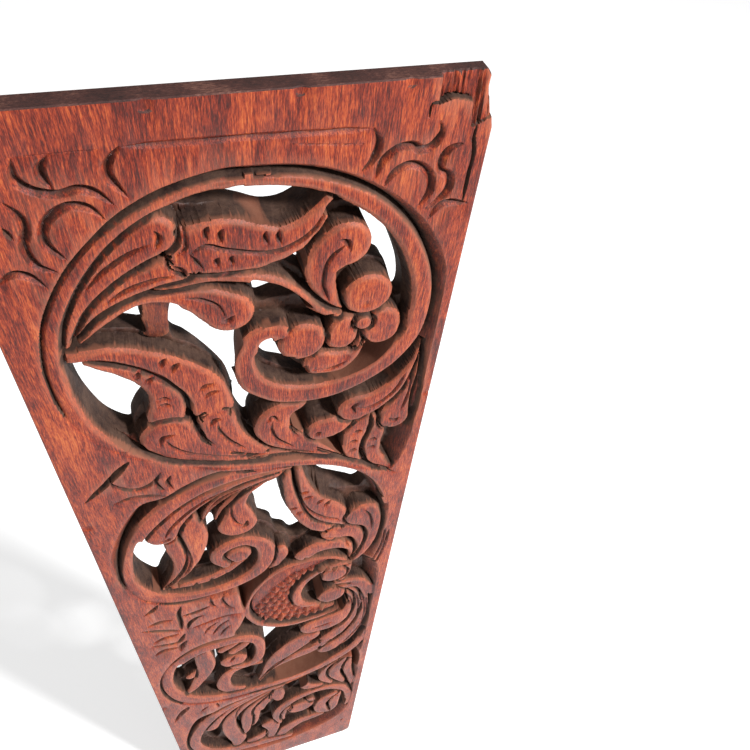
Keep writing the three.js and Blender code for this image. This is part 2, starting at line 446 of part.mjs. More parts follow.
// Foot scroll: a fan of long fingers on the left and a coil on the right
limb([[14, 259], [-13, 254], [-36, 244.5], [-55, 228], [-70, 204], [-80, 176], [-84, 148],
     [-80, 122], [-69, 99], [-50, 82], [-26, 72], [2, 66], [22, 60]], [3, 4.4, 5.6, 6.6, 7.4, 7,
     6.4, 6.4, 7, 8, 9, 8, 4], 0.6, 0.9);
limb([[2, 253], [-20, 243], [-40, 227], [-54, 206], [-63, 186]], [2, 4, 5, 6, 8],
     [2.2, 2, 1.7, 1.4, 1.3], 0.9);
limb([[4, 248], [-16, 234], [-33, 214], [-43, 190], [-45, 162], [-42, 135], [-38, 110], [-40, 92]],
     [2, 4, 5.4, 7, 8, 9, 9, 6], [2.4, 2.1, 1.8, 1.5, 1.4, 1.4, 1.5, 2], 0.9);
limb([[8, 245], [-8, 228], [-20, 206], [-25, 182], [-26, 158], [-28, 136], [-34, 118]],
     [2, 4, 5.6, 6.6, 6, 4.4, 2], [2.5, 2.2, 1.8, 1.5, 1.5, 1.8, 2.2], 0.9);
limb([[12, 246], [2, 230], [-8, 212], [-13, 196], [-15, 178], [-17, 158], [-22, 142]],
     [3, 5.5, 7, 6.4, 3.6, 3, 1.6], [2.2, 1.9, 1.5, 1.4, 1.7, 2, 2.3], 0.9);
limb([[8, 244], [8, 228], [10, 212]], [5, 8, 5], [2.1, 1.6, 2], 0.9);
limb([[0, 70], [1, 92], [2, 112], [0, 131]], [5, 7, 8, 11], [2.1, 1.8, 1.5, 1.1], 1.2);
limb([[-22, 84], [-12, 92], [-4, 102]], [8, 7, 4], 2.2, 0.8);
limb([[10, 128], [6, 150], [9, 172], [19, 190], [33, 201], [50, 206], [66, 201], [79, 188],
     [87, 168], [90, 145], [88, 120]], [3, 4, 5.4, 6, 6, 5.8, 5.6, 5.4, 5, 4, 3], 0.7, 0.9);
disc(34, 160, 15.5, 0.9);
limb([[19, 168], [13, 152], [14, 136]], [5, 4.4, 2], 1.4, 0.7);
limb([[44, 178], [48, 168]], [4, 3], 1.6, 0.5);
limb([[74, 172], [62, 160], [57, 142], [59, 122], [68, 108]], [4, 7.6, 7, 7, 3],
     [1.6, 1.4, 1.3, 1.4, 2], 0.9);
limb([[78, 176], [76, 158], [74, 138], [74, 120], [70, 106]], [3, 5, 6, 5, 2.4],
     [2, 1.7, 1.6, 1.7, 2.2], 0.9);
limb([[10, 70], [18, 88], [32, 103], [48, 106], [60, 104]], [7, 10, 9, 8, 4],
     [2, 1.8, 1.6, 1.7, 2.2], 0.9);
limb([[88, 285], [82, 262], [84, 238], [88, 214], [90, 190]], [2, 5, 5, 4, 2], 1.5, 0.8);
limb([[78, 280], [72, 262], [68, 244], [72, 226], [80, 205]], [3, 6.4, 7, 5.4, 3],
     [1.8, 1.5, 1.4, 1.7, 2.2], 0.9);
limb([[70, 280], [60, 268], [56, 250], [58, 232], [66, 214]], [2, 3, 4, 5, 3],
     [2.2, 2, 1.9, 1.9, 2.2], 0.8);
limb([[36, 236], [40, 222], [54, 214]], [4, 6, 4], 2.4, 0.8);

// Deep cuts on the plain face: between the scrolls, on the left leaves, and along the top rail
groove([[-93, 666], [-81, 678], [-66, 695]], [2.5, 4, 5.5], 7);
groove([[-86, 507], [-79, 512], [-74.5, 519]], [2, 4.5, 4], 5);
groove([[-60, 507], [-63, 494], [-63, 479], [-64, 465]], [3, 3.6, 3.6, 3], 4.5);
groove([[-86, 487], [-77, 489.5], [-68, 488]], 5, 4.5);
groove([[-61, 490], [-51, 490.5], [-41, 494.5]], 4.4, 4.5);
groove([[-91, 481.5], [-80, 475], [-65, 465]], 4.4, 4.5);
groove([[-86, 455], [-78, 458.5], [-67, 459.5]], 5, 4.5);
groove([[-88, 449.5], [-77, 444.5], [-68, 444.5], [-62.5, 457]], 4.4, 4.5);
groove([[-88, 430], [-81, 434.5], [-70, 433.5]], 6, 5);
groove([[-69, 424], [-67, 434], [-62.5, 443]], [4, 6, 5], 5);
groove([[-60, 463], [-57, 474], [-51, 480.5], [-45, 481.5]], [2.6, 4, 3.6, 2.6], 4.5);
groove([[-94, 249], [-86, 268], [-77, 283]], [3, 6, 9], 7);
groove([[-40, 874.5], [0, 874], [50, 872.6]], [3, 3.2, 3], 1.6);

// The plank, with its back bevelled at the top end
function plank() {
  const side = [
    [0, 0],
    [THICK, 0],
    [THICK, HEIGHT],
    [BEVEL_IN, HEIGHT],
    [BEVEL_IN * 0.42, HEIGHT - BEVEL_UP * 0.45],
    [BEVEL_IN * 0.1, HEIGHT - BEVEL_UP * 0.8],
    [0, HEIGHT - BEVEL_UP],
  ];
  const profile = new THREE.Shape(side.map(([deep, up]) => new THREE.Vector2(-deep, up)));
  const geometry = new THREE.ExtrudeGeometry(profile, { depth: WIDTH + 2, bevelEnabled: false });
  geometry.rotateX(Math.PI / 2);
  geometry.rotateZ(Math.PI / 2);
  geometry.translate(-WIDTH / 2 - 1, 0, -MOUNT_UP);
  return solid(geometry);
}

// Its outline on the face: eased corners, one worn round, and the broken corner top right
function outline() {
  const half = WIDTH / 2;
  const corner = (across, up, radius, from) => [0, 30, 60, 90].map((deg) => {
    const turn = ((from + deg) * Math.PI) / 180;
    return [across + radius * Math.cos(turn), up + radius * Math.sin(turn)];
  });
  return [
    ...corner(half - FOOT_RADIUS, FOOT_RADIUS, FOOT_RADIUS, 270),
    [half, 868],
    [97.6, 877.5],
    [96.4, 884],
    [97, 888],
    [94.6, HEIGHT],
    ...corner(HEAD_RADIUS - half, HEIGHT - HEAD_RADIUS, HEAD_RADIUS, 90),
    ...corner(HEAD_RADIUS - half, HEAD_RADIUS, HEAD_RADIUS, 180),
  ];
}

const broken = [[75.5, 880], [81, 882], [86, 881], [89.5, 880], [90.5, 869], [99, 873], [99, 893],
  [75, 893]];
const sunk = Manifold.union([...grounds, prism(broken, -2, 2.6)]);
const body = plank()
  .intersect(prism(outline(), -1, THICK + 1))
  .subtract(sunk)
  .add(Manifold.union(raised))
  .subtract(Manifold.union([...openings, ...cuts]));

function geometryOf(manifold) {
  const { vertProperties, triVerts } = manifold.getMesh();
  const geometry = new THREE.BufferGeometry();
  geometry.setAttribute("position", new THREE.BufferAttribute(vertProperties, 3));
  geometry.setIndex(new THREE.BufferAttribute(triVerts, 1));
  const flat = geometry.toNonIndexed();
  flat.computeVertexNormals();
  return flat;
}

const board = new THREE.Mesh(
  geometryOf(body),
  new THREE.MeshStandardMaterial({ color: 0x9a4f36, roughness: 0.6 }),
);
board.name = "carved_board";

const panel = new THREE.Group();
panel.name = "carved_wall_panel";
panel.add(board);

export default panel;
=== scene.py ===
# A pierced and carved hardwood wall panel, one plank 200 x 891 x 22 mm, standing on its foot.
# Metres in the scene, millimetres in the pattern; the carved face looks to -Y.
import math
import bpy
import numpy as np
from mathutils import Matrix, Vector


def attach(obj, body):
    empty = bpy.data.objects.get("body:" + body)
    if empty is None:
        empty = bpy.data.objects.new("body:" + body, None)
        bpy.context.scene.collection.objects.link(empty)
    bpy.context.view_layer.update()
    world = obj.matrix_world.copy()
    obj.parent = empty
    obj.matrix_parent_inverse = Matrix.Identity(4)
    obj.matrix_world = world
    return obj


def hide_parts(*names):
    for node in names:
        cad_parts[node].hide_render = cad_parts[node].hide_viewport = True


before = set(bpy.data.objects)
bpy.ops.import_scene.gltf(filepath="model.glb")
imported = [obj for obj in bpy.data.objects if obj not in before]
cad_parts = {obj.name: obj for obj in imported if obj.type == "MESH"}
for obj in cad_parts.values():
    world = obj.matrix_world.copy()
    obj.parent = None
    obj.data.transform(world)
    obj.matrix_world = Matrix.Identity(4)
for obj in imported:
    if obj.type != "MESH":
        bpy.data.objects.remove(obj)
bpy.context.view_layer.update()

# ---- The plank's face ----------------------------------------------------------------------
# One wide board of plain-sawn hardwood. Its face is a relief: a depth below the face at every
# point, on a net of lines across the board and up it, closer at the head than at the foot.
HALF, HEIGHT, THICK = 100.0, 891.0, 22.0
MOUNT_UP = 861.0  # from the foot to the fixing point on the back
FINE = 0.5  # spacing of the net at the head
COARSER = 560.0  # the spacing doubles over this height, going down

across = np.linspace(-HALF, HALF, int(2 * HALF / FINE) + 1)
up_list = [HEIGHT]
while up_list[-1] > 0:
    up_list.append(max(0.0, up_list[-1] - FINE * (1 + max(0.0, 640 - up_list[-1]) / COARSER)))
ups = np.array(up_list[::-1])
X, H = np.meshgrid(across, ups)
face = np.zeros(X.shape)

# ---- Sunk ground ---------------------------------------------------------------------------
# Round the carving the wood is cut down about half way. The sides of each hollow slope a little,
# as a gouge leaves them. The hollows run from the top scroll down to the foot scroll.
GROUND = 12.0  # depth below the face
SIDE_SLOPE = 1.25


def window(x0, x1, h0, h1):
    """The part of the net between two lines across and two up."""
    c0, c1 = np.searchsorted(across, [x0, x1])
    r0, r1 = np.searchsorted(ups, [h0, h1])
    return slice(max(r0 - 1, 0), r1 + 1), slice(max(c0 - 1, 0), c1 + 1)


def smooth(points, closed, count=8):
    """A smooth line through points; further numbers of each point are carried along it."""
    p = np.array(points, float)
    if closed:
        p = np.vstack([p[-1], p, p[0], p[1]])
    else:
        p = np.vstack([2 * p[0] - p[1], p, 2 * p[-1] - p[-2]])
    t = np.linspace(0, 1, count, endpoint=False)[:, None]
    line = []
    for a, b, c, d in zip(p[:-3], p[1:-2], p[2:-1], p[3:]):
        line.append(0.5 * (2 * b + (c - a) * t + (2 * a - 5 * b + 4 * c - d) * t ** 2
                           + (3 * b - a - 3 * c + d) * t ** 3))
    line = np.vstack(line)
    return line if closed else np.vstack([line, p[-2]])


def inside(line, x, h):
    """Distance into a closed line, below zero outside it."""
    a, b = line, np.roll(line, -1, axis=0)
    best = np.full(x.shape, 1e9)
    odd = np.zeros(x.shape, bool)
    for (ax, ah), (bx, bh) in zip(a, b):
        dx, dh = bx - ax, bh - ah
        t = np.clip(((x - ax) * dx + (h - ah) * dh) / max(dx * dx + dh * dh, 1e-9), 0, 1)
        best = np.minimum(best, (x - ax - t * dx) ** 2 + (h - ah - t * dh) ** 2)
        if ah != bh:
            odd ^= ((ah > h) != (bh > h)) & (x < ax + (h - ah) * dx / dh)
    return np.where(odd, 1, -1) * np.sqrt(best)


def ground(*line):
    """A hollow sunk to the ground: its side slopes in from the line."""
    line = smooth(line, True)
    w = window(line[:, 0].min(), line[:, 0].max(), line[:, 1].min(), line[:, 1].max())
    within = inside(line, X[w], H[w])
    dip = np.clip(within * SIDE_SLOPE + 0.35, 0, GROUND)
    dip[within < -0.3] = 0
    face[w] = np.maximum(face[w], dip)


ground([0, 862.5], [24, 860.5], [42, 854.5], [58, 845], [72, 833], [83, 819], [91, 803],
     [94.5, 785], [94.5, 740], [94.5, 690], [93, 655], [84, 628], [60, 640], [30, 655], [0, 663],
     [-25, 672], [-46, 685], [-64, 698], [-76, 713], [-84.5, 731], [-88.5, 748], [-89, 768],
     [-87, 784], [-83, 799], [-77, 812], [-68, 826], [-57, 838], [-45, 848.5], [-30, 856.5],
     [-12, 861.5])
ground([0, 664], [-22, 668], [-40, 662], [-53, 654], [-67, 651], [-80, 631], [-89, 609],
     [-93, 588], [-92, 565], [-88, 545], [-81, 527], [-66, 513], [-45, 506], [-18, 503], [5, 506],
     [30, 512], [62, 508], [82, 500], [89, 530], [90, 565], [88, 590], [80, 614], [66, 632],
     [48, 647], [25, 657])
ground([-17, 514], [8, 527], [40, 536], [68, 520], [84, 503], [92, 480], [93, 440], [93, 390],
     [93, 340], [92, 300], [78, 284], [50, 266], [15, 262], [-20, 265], [-48, 271], [-66, 280],
     [-80, 293], [-89, 310], [-94, 332], [-94.5, 353], [-91.5, 374], [-85, 392], [-75, 409],
     [-61, 421.5], [-45, 427], [-27, 425], [-19, 441], [-16, 460], [-18, 480], [-19, 497])
ground([-25, 257], [-42, 253], [-57, 244], [-72, 238], [-81, 219], [-88, 192], [-92, 165],
     [-91, 132], [-84, 102], [-70, 78], [-48, 60], [-20, 50], [10, 48], [38, 56], [62, 68],
     [80, 86], [90, 112], [93, 150], [93, 200], [93, 250], [82, 285], [60, 274], [30, 264],
     [0, 260])

# ---- Sawn openings -------------------------------------------------------------------------
# Holes cut right through with a fret saw before the carving. solid_wood is how far a point lies
# inside the wood, below zero in a hole.
solid_wood = np.full(X.shape, 50.0)
SAW_MARGIN = 3.0  # reach over which the distance to a hole is kept


def opening(*line):
    """A hole sawn right through the board."""
    line = smooth(line, True)
    low, high = line.min(axis=0) - SAW_MARGIN, line.max(axis=0) + SAW_MARGIN
    w = window(low[0], high[0], low[1], high[1])
    solid_wood[w] = np.minimum(solid_wood[w], -inside(line, X[w], H[w]))


# In the top scroll
opening([-27, 846], [-16, 850.8], [-4, 852.6], [8, 852.4], [20, 850.2], [30, 845], [27, 837.5],
     [19, 832.8], [10, 832.6], [1, 836.5], [-9, 839.8], [-19, 840], [-24, 841.5])
opening([36, 840.5], [42, 837.8], [48.5, 833], [43, 833], [36, 833], [33, 835])
opening([51.5, 830], [58, 826], [65, 816.5], [71, 803.5], [76, 790], [78, 778], [76.5, 771.5],
     [71.5, 776], [70, 786], [66, 796.5], [58, 800.5], [49, 799.5], [43, 794], [41.5, 798],
     [47, 805], [53.5, 811], [55, 819.5])
opening([9, 812], [17, 814.8], [24.5, 818], [27, 813], [25.5, 804], [28, 797], [24, 800.5],
     [17, 806.5])
opening([2, 804.5], [9, 802.5], [17, 797.8], [25, 789.5], [31, 780.8], [24, 783.5], [14, 783.8],
     [6.5, 782], [5, 788], [3.6, 796])
opening([-70, 781.5], [-60, 788.5], [-51, 796], [-45, 797.8], [-45.5, 788], [-44.5, 776.5],
     [-54, 779.3], [-63, 780.6])
opening([-31, 794.5], [-25, 792.5], [-21, 786], [-18.5, 777], [-12, 774.3], [-6, 774.5],
     [-3, 768], [-7, 757], [-8, 744], [-8, 733], [-10, 727], [-12.4, 737], [-15, 747.5],
     [-20.6, 756.5], [-28, 764.5], [-33.5, 769], [-34.2, 780], [-33, 790])
opening([-79, 767.5], [-70, 766], [-60, 757], [-54, 750], [-51.5, 740], [-51, 730], [-56, 722],
     [-59.5, 714], [-60, 707], [-64, 708], [-71, 717], [-75.5, 729], [-79, 746])
opening([-7.5, 739], [-4, 733], [2, 727], [8, 721.8], [13, 718], [8, 714.8], [3, 708.8],
     [-0.5, 701], [-1.6, 693], [-5, 699], [-7.5, 708], [-8.8, 719], [-9.4, 730])
opening([5, 766], [11, 768], [11, 761], [14.5, 753.5], [22, 751], [21.5, 741], [27, 733.3],
     [36, 730.4], [46, 733.5], [54, 741], [58, 750], [64, 748], [71, 750.5], [75, 753],
     [69.5, 742], [62, 734.8], [50, 729.2], [38, 727.6], [24, 730], [12, 738.5], [5.4, 748],
     [3.6, 758])
opening([36.8, 775.5], [41, 775.5], [38, 769], [36.4, 763], [35.8, 770])
opening([30, 712.5], [44, 713.5], [56, 717], [66, 721.5], [76, 730.5], [84, 741], [89, 747],
     [87.5, 738], [84, 727], [77.5, 717], [68, 711.3], [56, 708.6], [47, 708], [45, 702],
     [47, 694.5], [38, 694.8], [31, 692], [28.3, 687], [25, 687], [21, 694], [20.5, 701],
     [24.5, 707])
opening([34.5, 676.2], [41, 673.8], [49, 678.5], [51.5, 675], [50.8, 665], [53.5, 652.5],
     [50, 655.5], [44, 663.5])

# In the second scroll
opening([-73, 610.5], [-70, 603], [-64, 597], [-60.5, 591], [-60, 580], [-58.6, 569], [-61, 556],
     [-66.5, 543], [-70.5, 533], [-76, 541], [-81, 555], [-82, 572], [-80.2, 590], [-77, 604])
opening([-6.6, 624], [2, 631], [12, 631.5], [14.6, 622], [16.4, 606], [20, 591], [26, 575],
     [34, 562], [40, 556], [36, 551], [30, 548], [24, 546.5], [19, 556.5], [12, 562.5],
     [9.5, 573], [2, 581.5], [-2.6, 588.5], [0.4, 598], [-3, 610], [-6, 620])
opening([33, 640], [40, 640], [50, 635], [60, 627], [70, 613.5], [74, 603], [69, 596], [62, 598],
     [52, 601.4], [43, 607], [37, 618], [33, 630])
opening([-30, 525.5], [-20, 529.5], [-11.5, 537], [-6.5, 547], [-5.2, 558], [-7, 566], [-5, 567],
     [-3, 560], [-3, 550], [-6.5, 538.5], [-14, 529.5], [-24, 524.2], [-34, 521.2], [-42, 522],
     [-36, 523.6])
opening([-31, 607], [-28, 602], [-27.5, 593], [-22.5, 586.5], [-17, 584.4], [-25, 581],
     [-33, 573.5], [-35.5, 563], [-33.5, 552], [-28, 545.5], [-34, 540], [-44, 540], [-49.5, 545],
     [-44.5, 556], [-39, 570], [-34.6, 585], [-32.6, 598])
opening([-19.5, 509], [-9, 512], [0, 518], [8, 527], [12, 524.5], [4, 513.5], [-3.5, 503],
     [-9.8, 490.5], [-13.8, 476], [-15.6, 468.5], [-17.6, 480], [-18, 497])
opening([36, 525.5], [41, 530.5], [48, 531.6], [54, 529.4], [59, 524.6], [62.6, 516.4], [64.6, 509.5],
     [58, 516], [49, 521], [40, 524.6], [31, 525.4], [31.5, 530])

# Beside and below the fruit
opening([37.5, 489], [45, 496.5], [46.5, 490], [46, 483], [49.5, 475.5], [57, 472.5], [54, 463],
     [47, 456], [43.5, 449], [38, 446], [33.4, 450], [31.3, 462], [32.6, 476])
opening([68, 434], [70.4, 421], [67, 408.5], [60, 408.5], [52, 411], [62, 415.5])
opening([-26, 427.5], [-20.5, 442], [-16, 457], [-15.2, 449], [-12.6, 437], [-5, 424.5],
     [-0.5, 415.5], [-4, 408], [-11, 411], [-18, 417])
opening([0.5, 410], [6, 409], [11, 400], [18, 405.5], [26, 402.5], [29, 396], [28.6, 384],
     [22, 372], [12, 361], [4, 348.5], [-0.4, 343], [-0.6, 360], [-0.2, 378], [-0.6, 395])
opening([-72.5, 394], [-64, 383], [-62.6, 370], [-69, 362.5], [-74, 353.5], [-68.5, 346],
     [-71, 338], [-79.5, 331.5], [-82, 350], [-81, 370], [-78, 385])
opening([-44.6, 397], [-39.5, 388.5], [-33, 384.5], [-40, 376.5], [-42.6, 368], [-42, 359],
     [-36, 347.5], [-42.5, 335], [-50, 318], [-50.5, 333], [-45.8, 350], [-44.2, 366],
     [-44.6, 383])
opening([-11.6, 389], [-11, 371], [-15.6, 356], [-20.5, 353], [-17, 362], [-15.2, 374])
opening([-28.5, 335], [-18, 334.5], [-8, 327.5], [-11, 306], [-14, 290], [-22, 288.5],
     [-30, 297.5], [-34, 314])
opening([-3, 281], [4, 293], [14, 303.5], [28, 311.5], [44, 316], [56, 313], [65, 306],
     [62.5, 297], [51, 287.5], [36, 280], [19, 276], [5, 277])
opening([84, 295], [90, 296], [93, 276], [92.5, 254], [89, 248], [86, 264])

# In the foot scroll
opening([18, 216], [20, 234], [26, 246], [36, 256], [48, 263], [54, 260], [51, 248], [44, 238],
     [35, 226], [27, 212], [21, 204])
opening([-70, 150], [-67, 170], [-60, 178], [-55, 166], [-53.5, 145], [-56, 122], [-63, 112],
     [-69, 128])
opening([-10, 196], [-4, 190], [1.5, 174], [1, 156], [-3, 146], [-8.5, 147], [-13, 160],
     [-12, 180])
opening([-30, 100], [-25, 118], [-18, 132], [-12.6, 126], [-11, 112], [-17, 99], [-24, 94])
opening([22, 186], [34, 192], [44, 190], [34, 180], [25, 178], [19, 178])
opening([51, 174], [56, 175], [52.5, 155], [48, 132], [47.5, 114], [43, 115], [41, 128], [46, 142],
     [50, 156])
opening([17, 136], [24, 139], [31, 134], [32, 122], [26, 115], [18, 116])
opening([88, 140], [86.5, 118], [79, 98], [66, 82], [50, 71], [34, 65.5], [26, 68], [34, 82],
     [46, 92], [60, 96], [70, 102], [78, 116], [82, 134])
opening([62, 194], [70, 190], [76, 182], [70, 178], [64, 182])

# ---- Raised forms --------------------------------------------------------------------------
# Stems, leaves, fingers and eyes, left standing in one piece with the board. Each is a line of
# points (mm across, mm up), half widths, depths of its edge below the face, and a crown.
EDGE_REACH = 3.5  # how far past its edge a form is worked out
SIDE_FALL = 14  # mm down for each mm out, on the side of a form
DISC_CROWN = 1.2
forms = []


def lay(w, key, level, wide, crown):
    """Adds a raised form to the face, given the distance outside its edge."""
    u = np.clip(1 + key / wide, 0, 1)
    top = level + crown * (0.6 * u ** 2 + 0.4 * u ** 6) + np.clip(key, 0, None) * SIDE_FALL
    top = np.where(key < 3, top, 99)
    face[w] = np.minimum(face[w], top)
    forms.append((w, key, top, level + crown))


def limb(points, halves, depths, crown):
    """A stem, leaf blade or finger: nearly flat on top, rounded over to its edges, with a cut
    along its side where it lies on something lower."""
    n = len(points)
    h = halves if isinstance(halves, list) else [halves] * n
    d = depths if isinstance(depths, list) else [depths] * n
    line = smooth([[*p, h[i], d[i]] for i, p in enumerate(points)], False, 24)
    gap = np.r_[0, np.cumsum(np.hypot(*np.diff(line[:, :2], axis=0).T))]
    place = np.linspace(0, gap[-1], max(3, int(gap[-1] / FINE)))
    line = np.column_stack([np.interp(place, gap, line[:, k]) for k in range(4)])
    line[:, 2] = np.maximum(line[:, 2], 0.4)
    r = line[:, 2].max() + EDGE_REACH
    low, high = line.min(axis=0) - r, line.max(axis=0) + r
    w = window(low[0], high[0], low[1], high[1])
    best = np.full(X[w].shape, 99.0)
    level = np.zeros(best.shape)
    wide = np.ones(best.shape)
    r0, c0 = w[0].start, w[1].start
    for x, up, half, depth in line:
        s = window(x - half - 3, x + half + 3, up - half - 3, up + half + 3)
        q = (slice(s[0].start - r0, s[0].stop - r0), slice(s[1].start - c0, s[1].stop - c0))
        key = np.hypot(X[s] - x, H[s] - up) - half
        closer = key < best[q]
        best[q] = np.where(closer, key, best[q])
        level[q] = np.where(closer, depth, level[q])
        wide[q] = np.where(closer, half, wide[q])
    lay(w, best, level, wide, crown)


def disc(x, up, radius, depth):
    """A round boss or the eye of a scroll."""
    r = radius + EDGE_REACH
    w = window(x - r, x + r, up - r, up + r)
    key = np.hypot(X[w] - x, H[w] - up) - radius
    lay(w, key, np.full(key.shape, depth), np.full(key.shape, radius), DISC_CROWN)


def run_on(x, up, reach=9):
    """The last form runs on into another here, so no cut parts them."""
    w, key, top, edge = forms[-1]
    forms[-1] = (w, np.where(np.hypot(X[w] - x, H[w] - up) < reach, 9, key), top, edge)


# Top scroll: the vine that rings it, runs down as the main stem, and curls in to the eye
limb([[10, 855.5], [-15, 854.5], [-36, 847], [-52, 836], [-64, 823], [-73, 809], [-80, 793],
     [-84, 772], [-84, 750], [-80, 728], [-72, 710], [-60, 694], [-42, 680], [-20, 669.5],
     [0, 663.5], [15, 660], [32, 655.5], [48, 648.5], [62, 638.5], [74, 625], [83, 607],
     [88.5, 585]], [2.8, 3, 3.2, 3.6, 4, 4, 4, 4, 4, 4, 3.8, 3.6, 3.8, 4, 4, 4, 4.2, 4.4, 4.5, 4.5,
     4.4, 3], 0.5, 0.8)
run_on(10, 855.5)
run_on(88.5, 585)
limb([[-4, 855.7], [20, 853.3], [36, 848], [50, 840], [62, 829.5], [72.5, 815.5], [80, 799.5],
     [84, 785], [84.8, 770], [82, 753], [72, 737.5], [57, 726.5], [40, 720.5], [24, 721.5],
     [10, 727], [0, 738], [-3, 752], [-1.5, 761], [4, 769], [14, 770.5]], [2.8, 3.3, 4, 4.8, 4.8, 5,
     5.3, 5.6, 5.8, 6, 6.4, 6.6, 6.7, 6.8, 6.8, 6.2, 5.2, 5.4, 6, 5], 0.5, 0.9)
run_on(-4, 855.7)
run_on(14, 770.5)
disc(25.5, 760.5, 12.2, 0.4)

# Hand leaf: two fingers, the long tip leaf, the curled finger over its stub, and a tendril
limb([[-77, 782], [-69, 802], [-57, 817.5], [-44, 829], [-34.5, 834.5]], [2, 4.3, 6.5, 8.8, 9.6],
     [2.7, 2, 1.4, 0.9, 0.7], 1)
limb([[-73, 786], [-62, 800], [-49, 809], [-36, 814.5], [-26, 816.5]], [1.6, 4, 5.5, 6.6, 7],
     [3.1, 2.5, 1.8, 1.4, 1.2], 1)
limb([[-18, 824.5], [-8, 824.5], [3, 822.5], [14, 822], [24, 826.5], [31, 834], [35.5, 842]],
     [13, 14, 12, 9, 6.8, 4.5, 2], [1.1, 0.9, 0.9, 1.1, 1.4, 1.6, 2], 0.8)
limb([[-71, 783], [-60, 793.5], [-46, 801.3], [-32, 801.5], [-19, 796.5], [-8, 787.5]],
     [1.4, 2.6, 2.7, 3.6, 8, 11.2], [2.7, 2.2, 1.8, 1.4, 0.9, 0.6], 1)
limb([[-37, 799], [-37.5, 790], [-39.5, 779]], [7, 6.6, 7], [7, 8, 9], 1)
limb([[-36, 806.3], [-16, 808.6], [2, 805.4], [15, 799.6], [24.5, 789.6], [34, 780], [43, 774.6]],
     [1.8, 2.6, 3, 3, 3, 3, 2.4], 1.9, 1.1)

# Comma leaf and the flower: three petals round an eye, and a bud on its stem
limb([[43.5, 778], [36.5, 790], [33.5, 803], [38, 812.5], [44, 817]], [1.6, 5, 7.6, 10.6, 12],
     [2.5, 2, 1.4, 1.1, 0.8], 1.1)
disc(56.5, 785, 12.3, 0.7)
limb([[46.5, 766], [45.4, 759.4]], [7.6, 8.8], [1.1, 1.3], 0.7)
limb([[65.6, 765], [66, 759.6]], [9.6, 10.2], [1.1, 1.3], 0.7)
disc(55.5, 767.5, 5.4, 0.5)
limb([[56.5, 758], [53.5, 748], [49, 742]], [2.2, 2, 2], 2.7, 0.6)
limb([[58, 751], [53, 744], [44, 740.6], [34.4, 742.3]], [1.2, 3.6, 7.4, 8.4], [2.7, 2.1, 1.4, 1.2],
     1)

# Broad leaf below, and three thumbs rising from the main stem
limb([[-79, 774.5], [-62, 772.5], [-48, 766], [-36, 756.5], [-26, 745], [-21, 733], [-20, 724]],
     [2.6, 5.2, 6.5, 8, 9.4, 10.4, 10.6], [2.2, 1.9, 1.6, 1.4, 1.2, 1.3, 1.5], 0.8)
limb([[-72, 769], [-58, 761], [-48, 753], [-42, 743], [-41, 732], [-43, 723]],
     [1, 3.8, 6, 7.6, 8.8, 9.4], [2.7, 2.4, 2.1, 1.8, 1.9, 2.2], 0.8)
limb([[8, 665.5], [-10, 674], [-24, 684], [-36, 694], [-44, 706]], [1.4, 4.4, 8.4, 12.2, 14.4],
     [2.7, 2.2, 1.7, 1.3, 1], 1.3)
limb([[12, 669], [0, 678], [-11, 689], [-17.5, 702], [-19, 712]], [1.8, 4.8, 8, 9.8, 10],
     [2.7, 2.2, 1.7, 1.3, 1.1], 1.2)
limb([[50, 655], [36, 666], [22, 677], [12, 688], [10, 699], [15, 707.5], [28, 711.5]],
     [1.8, 4.4, 7.4, 9.4, 9.8, 7, 1.4], [2.7, 2.2, 1.7, 1.3, 1.1, 1.3, 1.7], 1.2)
limb([[62, 644], [50, 657.5], [38, 669], [28, 679.5], [22, 691]], [1.4, 3, 3.4, 3.4, 2.2], 2, 0.9)
limb([[-4, 671.5], [14, 671], [30, 665], [46, 656.5]], [1.6, 2.4, 2.6, 2], 2.4, 0.8)

# Right of the stem: bud, two drooping fingers and the split leaf
limb([[60, 685], [51, 685], [44, 684.5], [38, 684]], [1.4, 5.4, 8.8, 9.4], [2.2, 1.6, 1.2, 1], 1.1)
limb([[91, 743], [86.5, 725], [78.5, 710], [68, 701], [57, 697.5]], [0.8, 2.5, 6, 8.4, 10.6],
     [2.7, 2.1, 1.5, 1.2, 0.9], 1.1)
limb([[91, 735], [90, 716], [86, 701], [82.5, 688], [82, 681]], [0.8, 2, 5, 8.8, 10],
     [2.7, 2.2, 1.8, 1.4, 1.2], 1.1)
limb([[66, 688], [60.5, 678], [58, 666], [58.5, 655], [64, 643], [75, 633]],
     [1.5, 7, 6.4, 6, 4, 2], [2.2, 1.6, 1.4, 1.4, 1.6, 1.8], 0.7)
limb([[69, 685], [72, 672], [70, 660], [71, 648], [79, 635], [91, 622]],
     [1.8, 5.4, 6.2, 5.8, 4.4, 1.2], [2.2, 1.6, 1.4, 1.4, 1.4, 1.6], 0.7)

# Second scroll, on the left
limb([[20, 655], [-8, 658], [-29, 654.5], [-46, 645.5], [-59, 634], [-70, 620], [-78, 604],
     [-84, 585], [-86.5, 567], [-84.5, 549], [-78.5, 534], [-67, 522], [-52, 516], [-35, 515],
     [-19, 518.5], [-5, 527.5], [2.5, 541], [3.5, 557], [-1, 569], [-10, 577], [-20, 576.5],
     [-28, 570], [-29.8, 560], [-25, 551]], [1.5, 4.6, 6, 6.5, 6.5, 6, 5, 4.2, 4.2, 4.5, 5.5, 6.4,
     5.7, 5.2, 5.8, 6.5, 6.5, 6.3, 6, 5.4, 5.2, 5, 4.7, 4.5], 0.5, 0.9)
run_on(20, 655)
disc(-16, 558.5, 9.4, 0.7)
limb([[15, 651], [-8, 649], [-25, 643], [-42, 633], [-54, 620], [-60, 608]],
     [1.5, 2.5, 4.5, 7, 9, 10.4], [2.1, 1.8, 1.5, 1.4, 1.1, 1], 1)
